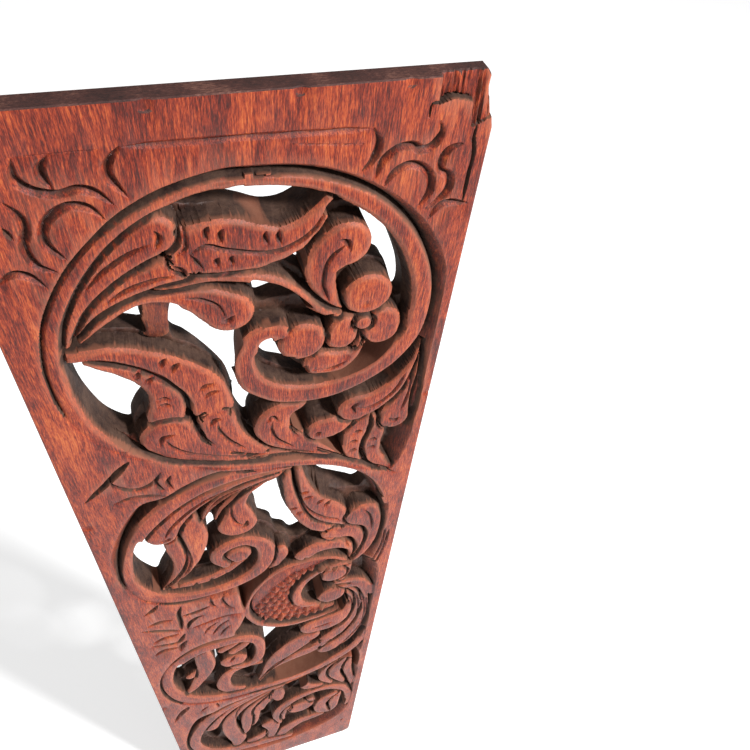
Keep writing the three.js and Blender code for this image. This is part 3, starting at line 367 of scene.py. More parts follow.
limb([[-42, 621], [-42, 606], [-41, 592], [-42.5, 577], [-46, 563], [-54, 548], [-66, 534]],
     [4, 8, 8, 5.6, 4, 3, 1.2], [2.2, 1.6, 1.4, 1.4, 1.5, 1.8, 2.2], 0.8)
limb([[-56, 598], [-54, 585], [-52.5, 572], [-54.5, 558], [-60, 545], [-68, 533]],
     [5, 6, 5.5, 4.5, 3.2, 1.2], [2.2, 2, 1.9, 2, 2.2, 2.5], 0.8)
limb([[-36, 612], [-29, 627], [-16, 638.5], [0, 645], [16, 648]], [1, 2.5, 3, 3, 2.4], 2.2, 0.8)
limb([[-27, 611], [-22.5, 621], [-13, 632], [0, 640], [13, 645]], [1, 2.2, 2.6, 2.6, 2], 2.7, 0.8)
limb([[6, 642], [-6, 634], [-12.5, 622], [-13, 610], [-14, 599]], [1.2, 3, 5.4, 9, 12.6],
     [2.7, 2.2, 1.8, 1.4, 0.9], 1.2)
limb([[-62, 532.5], [-48, 531.5], [-35, 533], [-23, 539], [-12, 549]], [1.8, 3.8, 4, 4, 2.6], 2.8,
     0.7)

# Leaf and lobes right of the second scroll
limb([[18, 645], [19.5, 630], [22, 612], [27, 596], [34, 580], [43, 567.5], [56, 561]],
     [3, 3.6, 4.6, 5.6, 6, 5.4, 2], 1.7, 0.7)
limb([[25, 649], [27.5, 633], [31.5, 616], [37.5, 601], [46, 588], [53, 577.5], [60, 566]],
     [2.4, 3.4, 5.4, 8.4, 10.8, 8, 3], [1.8, 1.6, 1.4, 1.1, 1.1, 1.3, 1.6], 0.8)
limb([[68, 500], [76, 513], [81, 530], [82, 546], [79, 561], [71.5, 573]],
     [1.5, 4, 5, 5.6, 8.6, 13.4], [2, 1.6, 1.4, 1.1, 0.9, 0.7], 1.1)
limb([[70, 507], [73, 522], [73, 535], [68.5, 547], [61, 554], [52, 555]],
     [1.4, 2.8, 4, 6, 8.4, 9.4], [2.4, 2.1, 1.8, 1.5, 1.4, 1.2], 1)
limb([[67, 507], [67.5, 520], [63.6, 528.6], [56.6, 536], [47, 539.4], [38, 538.6], [31, 532]],
     [1.2, 2.5, 4, 5.8, 7, 7.6, 7.2], [2.7, 2.2, 1.8, 1.4, 1.2, 1.2, 1.4], 0.9)
limb([[14, 552], [14, 541], [10.5, 531], [6, 524]], [3.5, 5.4, 4, 1.4], 2.2, 0.7)

# Leaves over the left side, between the second and third scrolls
disc(-24, 488, 11.5, 0.3)

# Studded fruit in its husk
limb([[52, 514], [34, 508], [17, 492], [9, 470], [9, 448], [20, 429], [44, 419], [58, 418]],
     [4, 10, 16, 19, 18.5, 14, 6.4, 3], 4.6, 2)
limb([[64, 507], [50, 517.5], [31, 522], [14, 519], [2, 508], [-7.5, 492], [-12.3, 475],
     [-13.5, 457], [-10, 440], [-2, 426], [10, 415.5], [25, 410], [42, 410.5], [58, 413.5],
     [70, 422]], [2, 2, 2.2, 2.2, 2.2, 2.3, 2.4, 2.6, 3, 3.2, 3.4, 3.4, 3, 2.5, 2], 1.5, 0.7)

# Husk curl and the two scroll eyes beside the fruit
limb([[69, 500], [56, 502], [44, 499.5], [34.5, 491.5], [28.5, 480], [25.5, 466], [27, 452],
     [33, 442.5], [46, 438]], [1.6, 2.4, 3.2, 3.8, 4.2, 4.4, 4.4, 3.6, 2], 1.2, 0.9)
disc(56, 486.5, 11, 0.7)
disc(55.5, 447.5, 12.4, 0.9)
limb([[67, 497], [66, 483], [61, 472]], [3, 3.4, 3.4], 1.8, 0.7)
limb([[55, 470.5], [68, 467], [79, 460], [87, 448], [91, 430]], [2, 3.6, 4, 4, 3], 1.5, 0.8)

# Bundle of fingers falling from the lower eye
limb([[60, 455], [70, 458.5], [79, 453], [84.5, 438], [87, 415], [87, 390], [84, 365], [76, 343],
     [65, 330], [57, 325]], [5, 5, 4.4, 4, 4, 4.6, 5.4, 7, 9, 9.6], [1.4, 1.4, 1.4, 1.4, 1.5, 1.5,
     1.4, 1.2, 1.1, 1.2], 1)
limb([[70, 452], [77.5, 440], [80.5, 420], [80, 400], [75, 380], [66, 362], [56, 350]],
     [2, 3, 3.4, 4, 5, 7, 7.6], [2.2, 1.8, 1.6, 1.4, 1.4, 1.4, 1.5], 0.9)
limb([[69, 444], [74.5, 431], [74, 413], [67, 398], [56, 389.5], [43, 388]],
     [1.8, 2.8, 4.6, 9, 14, 13], [2.2, 2, 1.6, 1.4, 1.2, 1.1], 1.1)
limb([[-9, 290], [-2, 311], [6, 329], [17, 346], [29, 360], [40, 368]], [1, 3.5, 7.6, 11, 12, 9],
     [2.2, 1.8, 1.5, 1.4, 1.3, 1.4], 0.9)
limb([[-8, 287], [0, 307], [10, 319.5], [26, 327], [42, 334], [52, 343]], [1, 2.8, 4.8, 6, 8, 7],
     [2.5, 2.2, 2, 1.8, 1.7, 1.6], 0.8)

# Third scroll: from the right edge along the foot of the bundle and round to its eye
limb([[94, 352], [91, 330], [84.5, 312], [71.5, 296.5], [52, 281.5], [29, 273], [5, 270.5],
     [-16, 271.5], [-37, 275], [-55, 281.5], [-69.5, 292.5], [-80, 309], [-86, 330], [-88, 352],
     [-85.5, 372], [-79, 389], [-68, 402.5], [-54, 410], [-38, 412], [-24, 410.5], [-12.5, 402.5],
     [-6.5, 388], [-6, 368], [-9.5, 351.5], [-20, 344.5], [-30, 350]], [2.5, 4, 5, 6, 6, 6, 5.6, 6,
     7.4, 7.8, 7.8, 6.8, 6, 5.4, 5.4, 6, 7, 7.4, 7.4, 6.4, 5.6, 4.8, 4.6, 5, 4.6, 4], 0.6, 0.9)
disc(-29.5, 363, 12, 0.9)
limb([[-54, 402], [-53.5, 386], [-53, 369], [-56, 352], [-62, 337], [-68, 322], [-76, 312]],
     [6, 7.8, 8, 7, 6, 4.4, 2], [2.1, 1.6, 1.4, 1.5, 1.8, 2.1, 2.2], 0.9)
limb([[-62, 357], [-68, 352]], [5, 4.4], 2.2, 0.7)
limb([[-18, 407], [-29, 399], [-38, 392]], [2, 4.2, 4], 2, 0.7)
limb([[-13, 399], [-20, 390], [-29, 382]], [2, 4.6, 4.4], 2.2, 0.7)
limb([[-6, 337], [-21, 341], [-33, 337], [-40, 322], [-42, 305], [-38, 291], [-26, 282]],
     [2, 4, 5, 6, 6.6, 6, 4], [2.2, 1.9, 1.6, 1.5, 1.5, 1.7, 2.1], 0.9)

# Foot scroll: a fan of long fingers on the left and a coil on the right
limb([[14, 259], [-13, 254], [-36, 244.5], [-55, 228], [-70, 204], [-80, 176], [-84, 148],
     [-80, 122], [-69, 99], [-50, 82], [-26, 72], [2, 66], [22, 60]], [3, 4.4, 5.6, 6.6, 7.4, 7,
     6.4, 6.4, 7, 8, 9, 8, 4], 0.6, 0.9)
limb([[2, 253], [-20, 243], [-40, 227], [-54, 206], [-63, 186]], [2, 4, 5, 6, 8],
     [2.2, 2, 1.7, 1.4, 1.3], 0.9)
limb([[4, 248], [-16, 234], [-33, 214], [-43, 190], [-45, 162], [-42, 135], [-38, 110], [-40, 92]],
     [2, 4, 5.4, 7, 8, 9, 9, 6], [2.4, 2.1, 1.8, 1.5, 1.4, 1.4, 1.5, 2], 0.9)
limb([[8, 245], [-8, 228], [-20, 206], [-25, 182], [-26, 158], [-28, 136], [-34, 118]],
     [2, 4, 5.6, 6.6, 6, 4.4, 2], [2.5, 2.2, 1.8, 1.5, 1.5, 1.8, 2.2], 0.9)
limb([[12, 246], [2, 230], [-8, 212], [-13, 196], [-15, 178], [-17, 158], [-22, 142]],
     [3, 5.5, 7, 6.4, 3.6, 3, 1.6], [2.2, 1.9, 1.5, 1.4, 1.7, 2, 2.3], 0.9)
limb([[8, 244], [8, 228], [10, 212]], [5, 8, 5], [2.1, 1.6, 2], 0.9)
limb([[0, 70], [1, 92], [2, 112], [0, 131]], [5, 7, 8, 11], [2.1, 1.8, 1.5, 1.1], 1.2)
limb([[-22, 84], [-12, 92], [-4, 102]], [8, 7, 4], 2.2, 0.8)
limb([[10, 128], [6, 150], [9, 172], [19, 190], [33, 201], [50, 206], [66, 201], [79, 188],
     [87, 168], [90, 145], [88, 120]], [3, 4, 5.4, 6, 6, 5.8, 5.6, 5.4, 5, 4, 3], 0.7, 0.9)
disc(34, 160, 15.5, 0.9)
limb([[19, 168], [13, 152], [14, 136]], [5, 4.4, 2], 1.4, 0.7)
limb([[44, 178], [48, 168]], [4, 3], 1.6, 0.5)
limb([[74, 172], [62, 160], [57, 142], [59, 122], [68, 108]], [4, 7.6, 7, 7, 3],
     [1.6, 1.4, 1.3, 1.4, 2], 0.9)
limb([[78, 176], [76, 158], [74, 138], [74, 120], [70, 106]], [3, 5, 6, 5, 2.4],
     [2, 1.7, 1.6, 1.7, 2.2], 0.9)
limb([[10, 70], [18, 88], [32, 103], [48, 106], [60, 104]], [7, 10, 9, 8, 4],
     [2, 1.8, 1.6, 1.7, 2.2], 0.9)
limb([[88, 285], [82, 262], [84, 238], [88, 214], [90, 190]], [2, 5, 5, 4, 2], 1.5, 0.8)
limb([[78, 280], [72, 262], [68, 244], [72, 226], [80, 205]], [3, 6.4, 7, 5.4, 3],
     [1.8, 1.5, 1.4, 1.7, 2.2], 0.9)
limb([[70, 280], [60, 268], [56, 250], [58, 232], [66, 214]], [2, 3, 4, 5, 3],
     [2.2, 2, 1.9, 1.9, 2.2], 0.8)
limb([[36, 236], [40, 222], [54, 214]], [4, 6, 4], 2.4, 0.8)


# ---- Parting cuts --------------------------------------------------------------------------
# Where two forms lie against each other at one height, a V-tool parts them.
def soften(field, count):
    """The field averaged over a square of 2 count + 1 lines, twice."""
    for axis in (0, 1, 0, 1):
        n = field.shape[axis]
        rim = [(count, count) if k == axis else (0, 0) for k in (0, 1)]
        total = np.insert(np.cumsum(np.pad(field, rim, mode="edge"), axis=axis), 0, 0, axis=axis)
        upper = np.take(total, np.arange(n) + 2 * count + 1, axis=axis)
        field = (upper - np.take(total, np.arange(n), axis=axis)) / (2 * count + 1)
    return field


def part(wide=1.8, deep=3.2):
    """Cuts a V along the side of every form that lies against another at its own height."""
    cut = np.zeros(X.shape)
    for w, key, top, edge in forms:
        now = face[w]
        out = (key > 0) & (key < 2.6)
        meets = out & (solid_wood[w] > -0.3) & (now < 8.5) & (now > edge - 0.7)
        share = soften(meets.astype(float), 3) / (soften(out.astype(float), 3) + 1e-3)
        v = np.clip(1 - np.abs(key) / wide, 0, 1) * deep
        mine = (key <= 0) & (now > top - 0.25)
        v = np.where(mine, v * np.clip(share * 1.3, 0, 1), np.where(meets, v, 0))
        cut[w] = np.maximum(cut[w], v)
    face[:] = face + cut


part()

# ---- Deep cuts on the plain face -----------------------------------------------------------
# Single strokes of a wide V-tool: between the scrolls, on the left leaves, and along the top rail.
def groove(points, width, depth):
    """A V-shaped gouge cut that fades at its ends."""
    n = len(points)
    g = width if isinstance(width, list) else [width] * n
    line = smooth([[*p, g[i] / 2] for i, p in enumerate(points)], False, 24)
    gap = np.r_[0, np.cumsum(np.hypot(*np.diff(line[:, :2], axis=0).T))]
    place = np.linspace(0, gap[-1], max(5, int(gap[-1] / 0.35)))
    line = np.column_stack([np.interp(place, gap, line[:, k]) for k in range(3)])
    full = line[:, 2].max()
    run_out = min(9.0, gap[-1] * 0.42)
    ends = np.clip(np.minimum(place, gap[-1] - place) / run_out, 0, 1) ** 0.7
    line[:, 2] *= 0.12 + 0.88 * ends
    r = full + 1
    low, high = line.min(axis=0) - r, line.max(axis=0) + r
    w = window(low[0], high[0], low[1], high[1])
    cut = np.zeros(X[w].shape)
    r0, c0 = w[0].start, w[1].start
    for x, up, half in line:
        s = window(x - half - 1, x + half + 1, up - half - 1, up + half + 1)
        q = (slice(s[0].start - r0, s[0].stop - r0), slice(s[1].start - c0, s[1].stop - c0))
        near = np.clip(1 - np.hypot(X[s] - x, H[s] - up) / half, 0, 1) * depth * half / full
        cut[q] = np.maximum(cut[q], near)
    face[w] += cut


groove([[-93, 666], [-81, 678], [-66, 695]], [2.5, 4, 5.5], 7)
groove([[-86, 507], [-79, 512], [-74.5, 519]], [2, 4.5, 4], 5)
groove([[-60, 507], [-63, 494], [-63, 479], [-64, 465]], [3, 3.6, 3.6, 3], 4.5)
groove([[-86, 487], [-77, 489.5], [-68, 488]], 5, 4.5)
groove([[-61, 490], [-51, 490.5], [-41, 494.5]], 4.4, 4.5)
groove([[-91, 481.5], [-80, 475], [-65, 465]], 4.4, 4.5)
groove([[-86, 455], [-78, 458.5], [-67, 459.5]], 5, 4.5)
groove([[-88, 449.5], [-77, 444.5], [-68, 444.5], [-62.5, 457]], 4.4, 4.5)
groove([[-88, 430], [-81, 434.5], [-70, 433.5]], 6, 5)
groove([[-69, 424], [-67, 434], [-62.5, 443]], [4, 6, 5], 5)
groove([[-60, 463], [-57, 474], [-51, 480.5], [-45, 481.5]], [2.6, 4, 3.6, 2.6], 4.5)
groove([[-94, 249], [-86, 268], [-77, 283]], [3, 6, 9], 7)
groove([[-40, 874.5], [0, 874], [50, 872.6]], [3, 3.2, 3], 1.6)

# ---- Gouge cuts over the carving -----------------------------------------------------------
# Long veins down the leaves, hooked cuts in their curled tips and rows of short nicks, all cut
# with a V-tool; on the corners the same tool drew the scrollwork straight into the flat.
CORNER_CUT, VEIN_CUT, HOOK_CUT = (4.4, 3.2), (2.8, 2.2), (3.6, 2.8)  # width and depth


def nick(x, up, long, angle, width=3.4, depth=2.6):
    """A short crescent cut with the tip of a gouge."""
    a = math.radians(angle)
    c, s = math.cos(a) * long / 2, math.sin(a) * long / 2
    groove([[x - c, up - s], [x - s * 0.3, up + c * 0.3], [x + c, up + s]], width, depth)


for cut in (
    [[50, 873], [53, 866], [51, 859], [47, 854.5]],
    [[53, 850.5], [55, 857.5], [60.5, 862.6], [67, 863.6], [71, 861.3],
     [75.5, 862.6], [78.6, 868], [77, 873]],
    [[57, 846.5], [60.5, 852], [67, 855], [73, 853], [77, 848], [77.6, 841], [73.5, 834]],
    [[89, 862.3], [83.5, 860.5], [80.8, 855.5], [81.5, 850.5], [85.5, 847.5], [86, 841],
     [82, 835.5], [76.5, 832]],
    [[79.5, 827], [82.5, 832], [88, 834], [97, 832.4]],
    [[-40, 875], [-44.5, 869.5], [-45.3, 863.5], [-40.5, 854.5]],
    [[-63, 874], [-66.5, 868], [-64, 860.5]],
    [[-74, 874], [-74.6, 866.5], [-70.5, 861.4], [-63, 858.8], [-56, 860], [-50.5, 857.6], [-46, 852.5]],
    [[-50, 846.5], [-54, 851.7], [-60.5, 853.6], [-67, 850.6], [-71, 845], [-71.4, 838], [-66.5, 830.5]],
    [[-81, 858], [-77.3, 852], [-76.6, 846], [-78.8, 838.5], [-77, 829.5], [-70.6, 825]],
    [[-92, 823], [-86, 826.6], [-80.5, 824.5], [-76, 818.5]],
):
    groove(cut, *CORNER_CUT)
groove([[-84, 848], [-81.5, 842]], 2.5, 2.5)
groove([[93.5, 872], [92.8, 865], [94.3, 857], [94, 845], [94, 833]], 1.8, 2.6)
groove([[91, 745], [93, 720], [94, 700], [93, 680], [90, 668]], 3.4, 3)
groove([[-79, 683], [-75, 674], [-66, 668], [-57, 671], [-51.5, 680]], [2.5, 3, 3.4, 3.4, 2.5], 3.5)
for cut in (
    [[-54.5, 676], [-55.5, 669], [-52, 661]],
    [[-47, 675], [-49.5, 668], [-47.5, 661]],
    [[-79, 659], [-70, 661], [-60, 659], [-52, 655]],
):
    groove(cut, 3.2, 3)
# The hand leaf, the comma leaf, the bud and the broad leaf of the top scroll
for cut in (
    [[-63, 813], [-55, 821], [-45, 828], [-36, 832]],
    [[-57, 804], [-47, 810], [-37, 813], [-29, 814]],
    [[-22, 824], [-15, 827], [-6, 823.5], [10, 819.5], [22, 822.5], [31, 830], [35, 840]],
    [[-23, 840], [-23, 828], [-27, 824]],
    [[-22, 824], [-17, 815]],
    [[-28, 801], [-20, 799], [-13, 794], [-10, 787]],
    [[38, 784], [34.5, 795], [35, 806], [38, 813], [43, 818]],
    [[49, 741], [40, 737.5], [31, 739]],
    [[-78, 773], [-70, 772], [-60, 768], [-50, 761.5], [-42, 754], [-36, 744], [-33, 735], [-31.5, 722]],
    [[0, 671], [-20, 680], [-35, 689], [-43, 698], [-46, 706]],
    [[-5, 682], [-13, 692], [-18, 703], [-19, 711]],
    [[22, 674], [13, 684], [9.5, 694], [9.5, 703]],
    [[84, 722], [80, 710], [73, 702], [64, 698], [57, 700]],
    [[88, 722], [88.5, 705], [85, 688]],
    [[67, 688], [68.5, 680], [66, 670], [63.5, 660], [64, 650], [68, 640], [78, 632], [90, 622]],
    [[-59, 606], [-54, 616], [-45, 627], [-33, 637], [-18, 644]],
    [[-52, 600], [-49, 590], [-47, 578], [-47, 565], [-52, 550], [-60, 538], [-68, 531]],
    [[-10, 642], [-25, 632], [-35, 615]],
    [[-2, 640], [-12, 632], [-22, 620], [-27, 610]],
    [[-17, 625], [-17, 612], [-14, 603], [-9, 599]],
    [[22, 645], [23, 630], [27, 612], [33, 597], [42, 585], [52, 577], [55, 573]],
    [[71, 582], [76, 573], [79, 562], [80, 550]],
    [[33, 547], [40, 552], [50, 550], [60, 541], [65, 528]],
    [[91, 548], [90, 520], [83, 490], [78, 478]],
    [[94, 545], [93, 520], [90, 500], [86, 488]],
    [[-49, 445], [-44, 455], [-37, 462]],
    [[-43, 439], [-36, 453], [-28, 461]],
    [[-37, 434], [-33, 443], [-27, 450]],
    [[-57, 463], [-46, 466], [-31, 469], [-19, 466]],
    [[80, 443], [87, 411], [88, 371], [78, 342], [63, 313]],
    [[76, 441], [81, 415], [81, 381], [70, 355], [50, 332]],
    [[72, 435], [76, 407], [70, 379], [55, 364]],
    [[87, 425], [92, 383], [88, 348], [75, 321]],
    [[40, 388], [50, 389], [60, 391]],
    [[-8, 292], [-1, 310], [8, 325], [22, 335], [36, 340], [48, 345]],
    [[-31, 386], [-20, 400]],
    [[-52, 197], [-44, 216], [-31, 231], [-18, 240]],
    [[-68, 189], [-56, 212], [-46, 224]],
    [[-37, 186], [-35, 212], [-26, 233], [-22, 238]],
    [[-20, 217], [-11, 234], [4, 244]],
    [[21, 174], [28, 187], [42, 197], [49, 180], [47, 156], [38, 145], [29, 147]],
    [[64, 157], [68, 163], [79, 160]],
):
    groove(cut, *VEIN_CUT)
for hook in (
    [[-34, 838], [-32.4, 834], [-34.5, 829]],
    [[-29, 819], [-25.5, 815.5], [-25, 811]],
    [[-13, 784], [-9, 784], [-6, 787]],
    [[40, 821], [44, 819], [45.5, 814]],
    [[28, 743], [27.6, 739], [30, 736]],
    [[-49, 701], [-47, 707.5], [-41, 709]],
    [[-23, 710], [-20, 714], [-17, 714]],
    [[7, 703], [10, 706], [13, 702]],
    [[34, 681], [37, 684]],
    [[58, 704], [55, 700], [57, 695]],
    [[78, 683], [82, 680], [85, 682]],
    [[-62, 604], [-58, 603], [-55, 606]],
    [[-8, 604], [-9, 599], [-12, 597]],
    [[65, 583], [67, 588], [71, 587]],
    [[53, 562], [55, 565], [58, 565]],
    [[-29, 506], [-31, 498], [-28, 485], [-23, 479]],
    [[-39, 506], [-39, 496], [-36, 490]],
    [[48, 331], [50, 338]],
    [[-33, 366], [-28, 374]],
    [[-68, 258], [-60, 268]],
    [[-52, 269], [-51, 256]],
    [[88, 62], [86, 56]],
):
    groove(hook, *HOOK_CUT)
for x, up, long, angle in (
    (-14, 833, 7, 80), (-8.5, 831, 7, 80), (9.5, 827, 7, 95), (15, 826.4, 7, 95),
    (-11, 818, 5, 80), (-5, 818, 5, 85), (-39.5, 763, 6, 60), (-34.5, 758.5, 7, 55),
    (-22, 741, 8, 25), (-20, 735, 8, 25), (-51.5, 756.5, 4.5, 45), (-47, 752, 4.5, 30),
    (-43, 737, 6, 0), (-43, 732, 6, 0), (60, 675, 5, 10), (58, 666, 5, 5), (58, 657, 5, 0),
    (70, 664, 5, 0), (70, 656, 5, 0), (-58, 534, 5, 80), (-46, 530, 5, 90), (-35, 530, 5, 100),
    (-24, 533, 5, 110), (-14, 540, 5, 120), (29, 620, 6, 20), (31.5, 613.5, 6, 20),
    (40, 605, 6, 30), (45, 600, 6, 35), (22, 603, 5, 20), (26, 596, 5, 25), (36, 583, 5, 40),
    (41, 577, 5, 45), (41, 359, 6, 45), (60, 180, 6, 30), (-62, 170, 6, 60), (12, 150, 6, 90),
):
    nick(x, up, long, angle)

# ---- Studs of the fruit --------------------------------------------------------------------
# Small four-sided studs in staggered rows, left standing between crossed cuts.
STUD_TALL = 2.6
for x, up, size in (
    (56, 497, 3), (51, 500, 3.2), (44, 502, 3.4), (37.5, 502.5, 3.6), (31, 501, 3.6), (25, 500, 3.6),
    (20, 494.5, 3.8), (27, 494, 3.6), (15, 488.5, 3.8), (22, 487, 3.8), (9.5, 482, 3.8), (16.5, 480, 3.8),
    (6, 474.5, 3.6), (12, 472.5, 3.8), (18.5, 472, 3.6), (1.5, 467.5, 3.6), (8, 465.5, 3.8),
    (15, 464, 3.8), (-3, 459, 3.4), (3.5, 458.5, 3.8), (10.5, 457.5, 3.8), (17, 455.5, 3.6),
    (-4.5, 450, 3.4), (1.5, 449.5, 3.8), (8, 448, 3.8), (15, 446.5, 3.8), (22, 445.5, 3.4),
    (-3, 440.5, 3.4), (4, 440, 3.8), (11, 438.5, 3.8), (18, 437, 3.8), (25, 436, 3.4),
    (0, 431.5, 3.4), (7.5, 431, 3.8), (14.5, 429, 3.8), (21.5, 427.5, 3.8), (28.5, 426.5, 3.6),
    (13, 421.5, 3.4), (20, 420, 3.4), (27.5, 418.5, 3.4), (35, 418.5, 3.6), (35.5, 427, 3.2),
    (42, 419.5, 3.2), (48.5, 420.5, 3),
):
    w = window(x - size - 1, x + size + 1, up - size - 1, up + size + 1)
    off = (np.abs(X[w] - x) + np.abs(H[w] - up)) / size
    stud = np.clip(1.15 - off, 0, 1)
    face[w] -= STUD_TALL * stud
    face[w] += 0.9 * np.clip(off - 0.95, 0, 0.4) * (off < 1.6)

# ---- Wear, tool marks and the broken corner ------------------------------------------------
# The carved forms keep the shallow scallops of the gouge, the flats are lightly dished and
# scuffed, and a piece has split off the upper corner, leaving torn fibres.
def drift(size_x, size_h, seed):
    """Soft random unevenness, from -1 to 1, with lumps of the given size in mm."""
    rng = np.random.default_rng(seed)
    u = (X + HALF) / size_x
    v = H / size_h
    table = rng.uniform(-1, 1, (int(HEIGHT / size_h) + 3, int(2 * HALF / size_x) + 3))
    i, j = np.floor(v).astype(int), np.floor(u).astype(int)
    fv, fu = v - i, u - j
    fv, fu = fv * fv * (3 - 2 * fv), fu * fu * (3 - 2 * fu)
    return ((table[i, j] * (1 - fu) + table[i, j + 1] * fu) * (1 - fv)
            + (table[i + 1, j] * (1 - fu) + table[i + 1, j + 1] * fu) * fv)


cut_wood = np.clip((face - 0.8) / 1.5, 0, 1)
face += cut_wood * (0.16 * drift(5, 9, 3) + 0.10 * drift(2.2, 3.4, 4))
face += (1 - cut_wood) * (0.07 + 0.06 * drift(14, 40, 5) + 0.02 * drift(1.2, 6, 6))
rough_ground = np.clip((face - 8) / 3, 0, 1)
face += rough_ground * (0.5 * drift(3, 4, 7) + 0.3 * drift(1.3, 1.6, 8))

broken = smooth([[75.5, 880], [81, 882], [86, 881], [89.5, 880], [90.5, 869], [99, 873], [99, 893],
                 [75, 893]], True, 1)
w = window(72, 100, 866, 891)
torn = inside(broken, X[w], H[w])
splinter = 0.9 * drift(1.1, 14, 9)[w] + 0.45 * drift(0.7, 4, 10)[w]
face[w] += np.clip(torn * 3 + 0.4, 0, 1) * np.clip(2.4 + splinter + 0.10 * (H[w] - 880), 0.6, 4.2)
groove([[72, 874], [72.4, 880], [76, 880.8], [81, 882.3], [86, 881.4], [90, 880.4]], 1.3, 2.4)
groove([[15, 870], [27, 868.4], [40, 867], [50, 866.2]], 0.9, 0.8)
groove([[-75, 874.6], [-60, 874.4], [-44, 874.6]], 1.0, 0.6)
groove([[-70, 706], [-66, 703], [-61, 702]], 0.9, 0.9)
for x, up, size, depth in ((48, 744, 2.6, 0.7), (-17, 796, 2.0, 0.5), (55.5, 780.5, 2.4, 0.8),
                           (-97, 640, 3.0, 1.2), (98, 702, 2.4, 1.0), (-30, 889, 3.0, 1.0),
                           (22, 890, 2.4, 0.9), (63, 890, 2.6, 0.8), (-98.5, 300, 3.2, 1.1)):
    w = window(x - size - 1, x + size + 1, up - size - 1, up + size + 1)
    bowl = np.clip(1 - np.hypot(X[w] - x, H[w] - up) / size, 0, 1)
    face[w] += depth * np.sqrt(bowl)

# ---- The board as one mesh -----------------------------------------------------------------
# The face is the relief, the holes and edges are sawn through to the back, and the back is the
# plain planed face, bevelled off at the head.
LEAST_WOOD = 2.5  # left behind the deepest cut
WALL_STEPS = 4
TRIANGLES = 190000


def arc(x, up, radius, start):
    turns = [math.radians(start + k) for k in (0, 30, 60, 90)]
    return [[x + radius * math.cos(t), up + radius * math.sin(t)] for t in turns]


outline = np.array(arc(91, 9, 9, 270) + [[100, 868], [97.6, 877.5], [96.4, 884], [97, 888], [94.6, 891]]
                   + arc(-96, 887, 4, 90) + arc(-96, 4, 4, 180))
edge = inside(outline, X, H)
edge = np.where(np.abs(edge) < 1e-6, 0, edge)
solid_wood = np.minimum(solid_wood, edge)
for reach, drop in ((0.6, 0.35), (1.6, 0.12)):
    near = np.clip(1 - np.clip(solid_wood, 0, None) / reach, 0, 1)
    face += drop * near ** 2
back_at = -np.interp(H, [870, 874.2, 881.55, 891], [0, 1.3, 5.46, 13])
face = np.clip(face, 0.03, THICK + back_at - LEAST_WOOD)

row_step = np.gradient(ups)[:, None]
step = np.maximum(FINE, row_step) * np.ones(X.shape)
slope_h, slope_x = np.gradient(solid_wood, ups, across)
long = np.maximum(np.hypot(slope_h, slope_x), 0.5)
move = (solid_wood < 0) & (solid_wood > -0.75 * step)
PX = np.clip(np.where(move, X - solid_wood * slope_x / long ** 2, X), -HALF, HALF)
PH = np.clip(np.where(move, H - solid_wood * slope_h / long ** 2, H), 0, HEIGHT)
keep = solid_wood >= -0.75 * step

index = np.arange(X.size).reshape(X.shape)
a, b, c, d = index[:-1, :-1], index[:-1, 1:], index[1:, 1:], index[1:, :-1]
ka, kb, kc, kd = keep[:-1, :-1], keep[:-1, 1:], keep[1:, 1:], keep[1:, :-1]
other = (np.add.outer(np.arange(a.shape[0]), np.arange(a.shape[1])) % 2) == 0
tris = []
for need, corners in (
    (ka & kb & kc & kd & other, ((a, b, c), (a, c, d))),
    (ka & kb & kc & kd & ~other, ((a, b, d), (b, c, d))),
    (ka & kb & kc & ~kd, ((a, b, c),)),
    (ka & kb & ~kc & kd, ((a, b, d),)),
    (ka & ~kb & kc & kd, ((a, c, d),)),
    (~ka & kb & kc & kd, ((b, c, d),)),
):
    for corner in corners:
        tris.append(np.stack([k[need] for k in corner], 1))
tris = np.vstack(tris)

sides = np.vstack([tris[:, [0, 1]], tris[:, [1, 2]], tris[:, [2, 0]]])
code = np.sort(sides, 1)
code = code[:, 0].astype(np.int64) * X.size + code[:, 1]
value, first, times = np.unique(code, return_index=True, return_counts=True)
rim = sides[first[times == 1]]

used, flat = np.unique(tris, return_inverse=True)
tris = flat.reshape(-1, 3)
number = np.full(X.size, -1)
number[used] = np.arange(used.size)
rim = number[rim]
px, ph, pf = PX.ravel()[used], PH.ravel()[used], face.ravel()[used]
pb = back_at.ravel()[used]
rims = np.unique(rim)
# The sawn edges are eased along their length.
free = (np.abs(px) < 99.5) & (ph > 0.5) & (ph < 890.5)
for _ in range(4):
    for line in (px, ph):
        total, near = np.zeros(line.size), np.zeros(line.size)
        for p, q in ((rim[:, 0], rim[:, 1]), (rim[:, 1], rim[:, 0])):
            np.add.at(total, p, line[q])
            np.add.at(near, p, 1)
        line[:] = np.where(free & (near == 2), 0.5 * line + 0.5 * total / np.maximum(near, 1), line)
front = np.column_stack([px, pf - THICK, ph - MOUNT_UP])
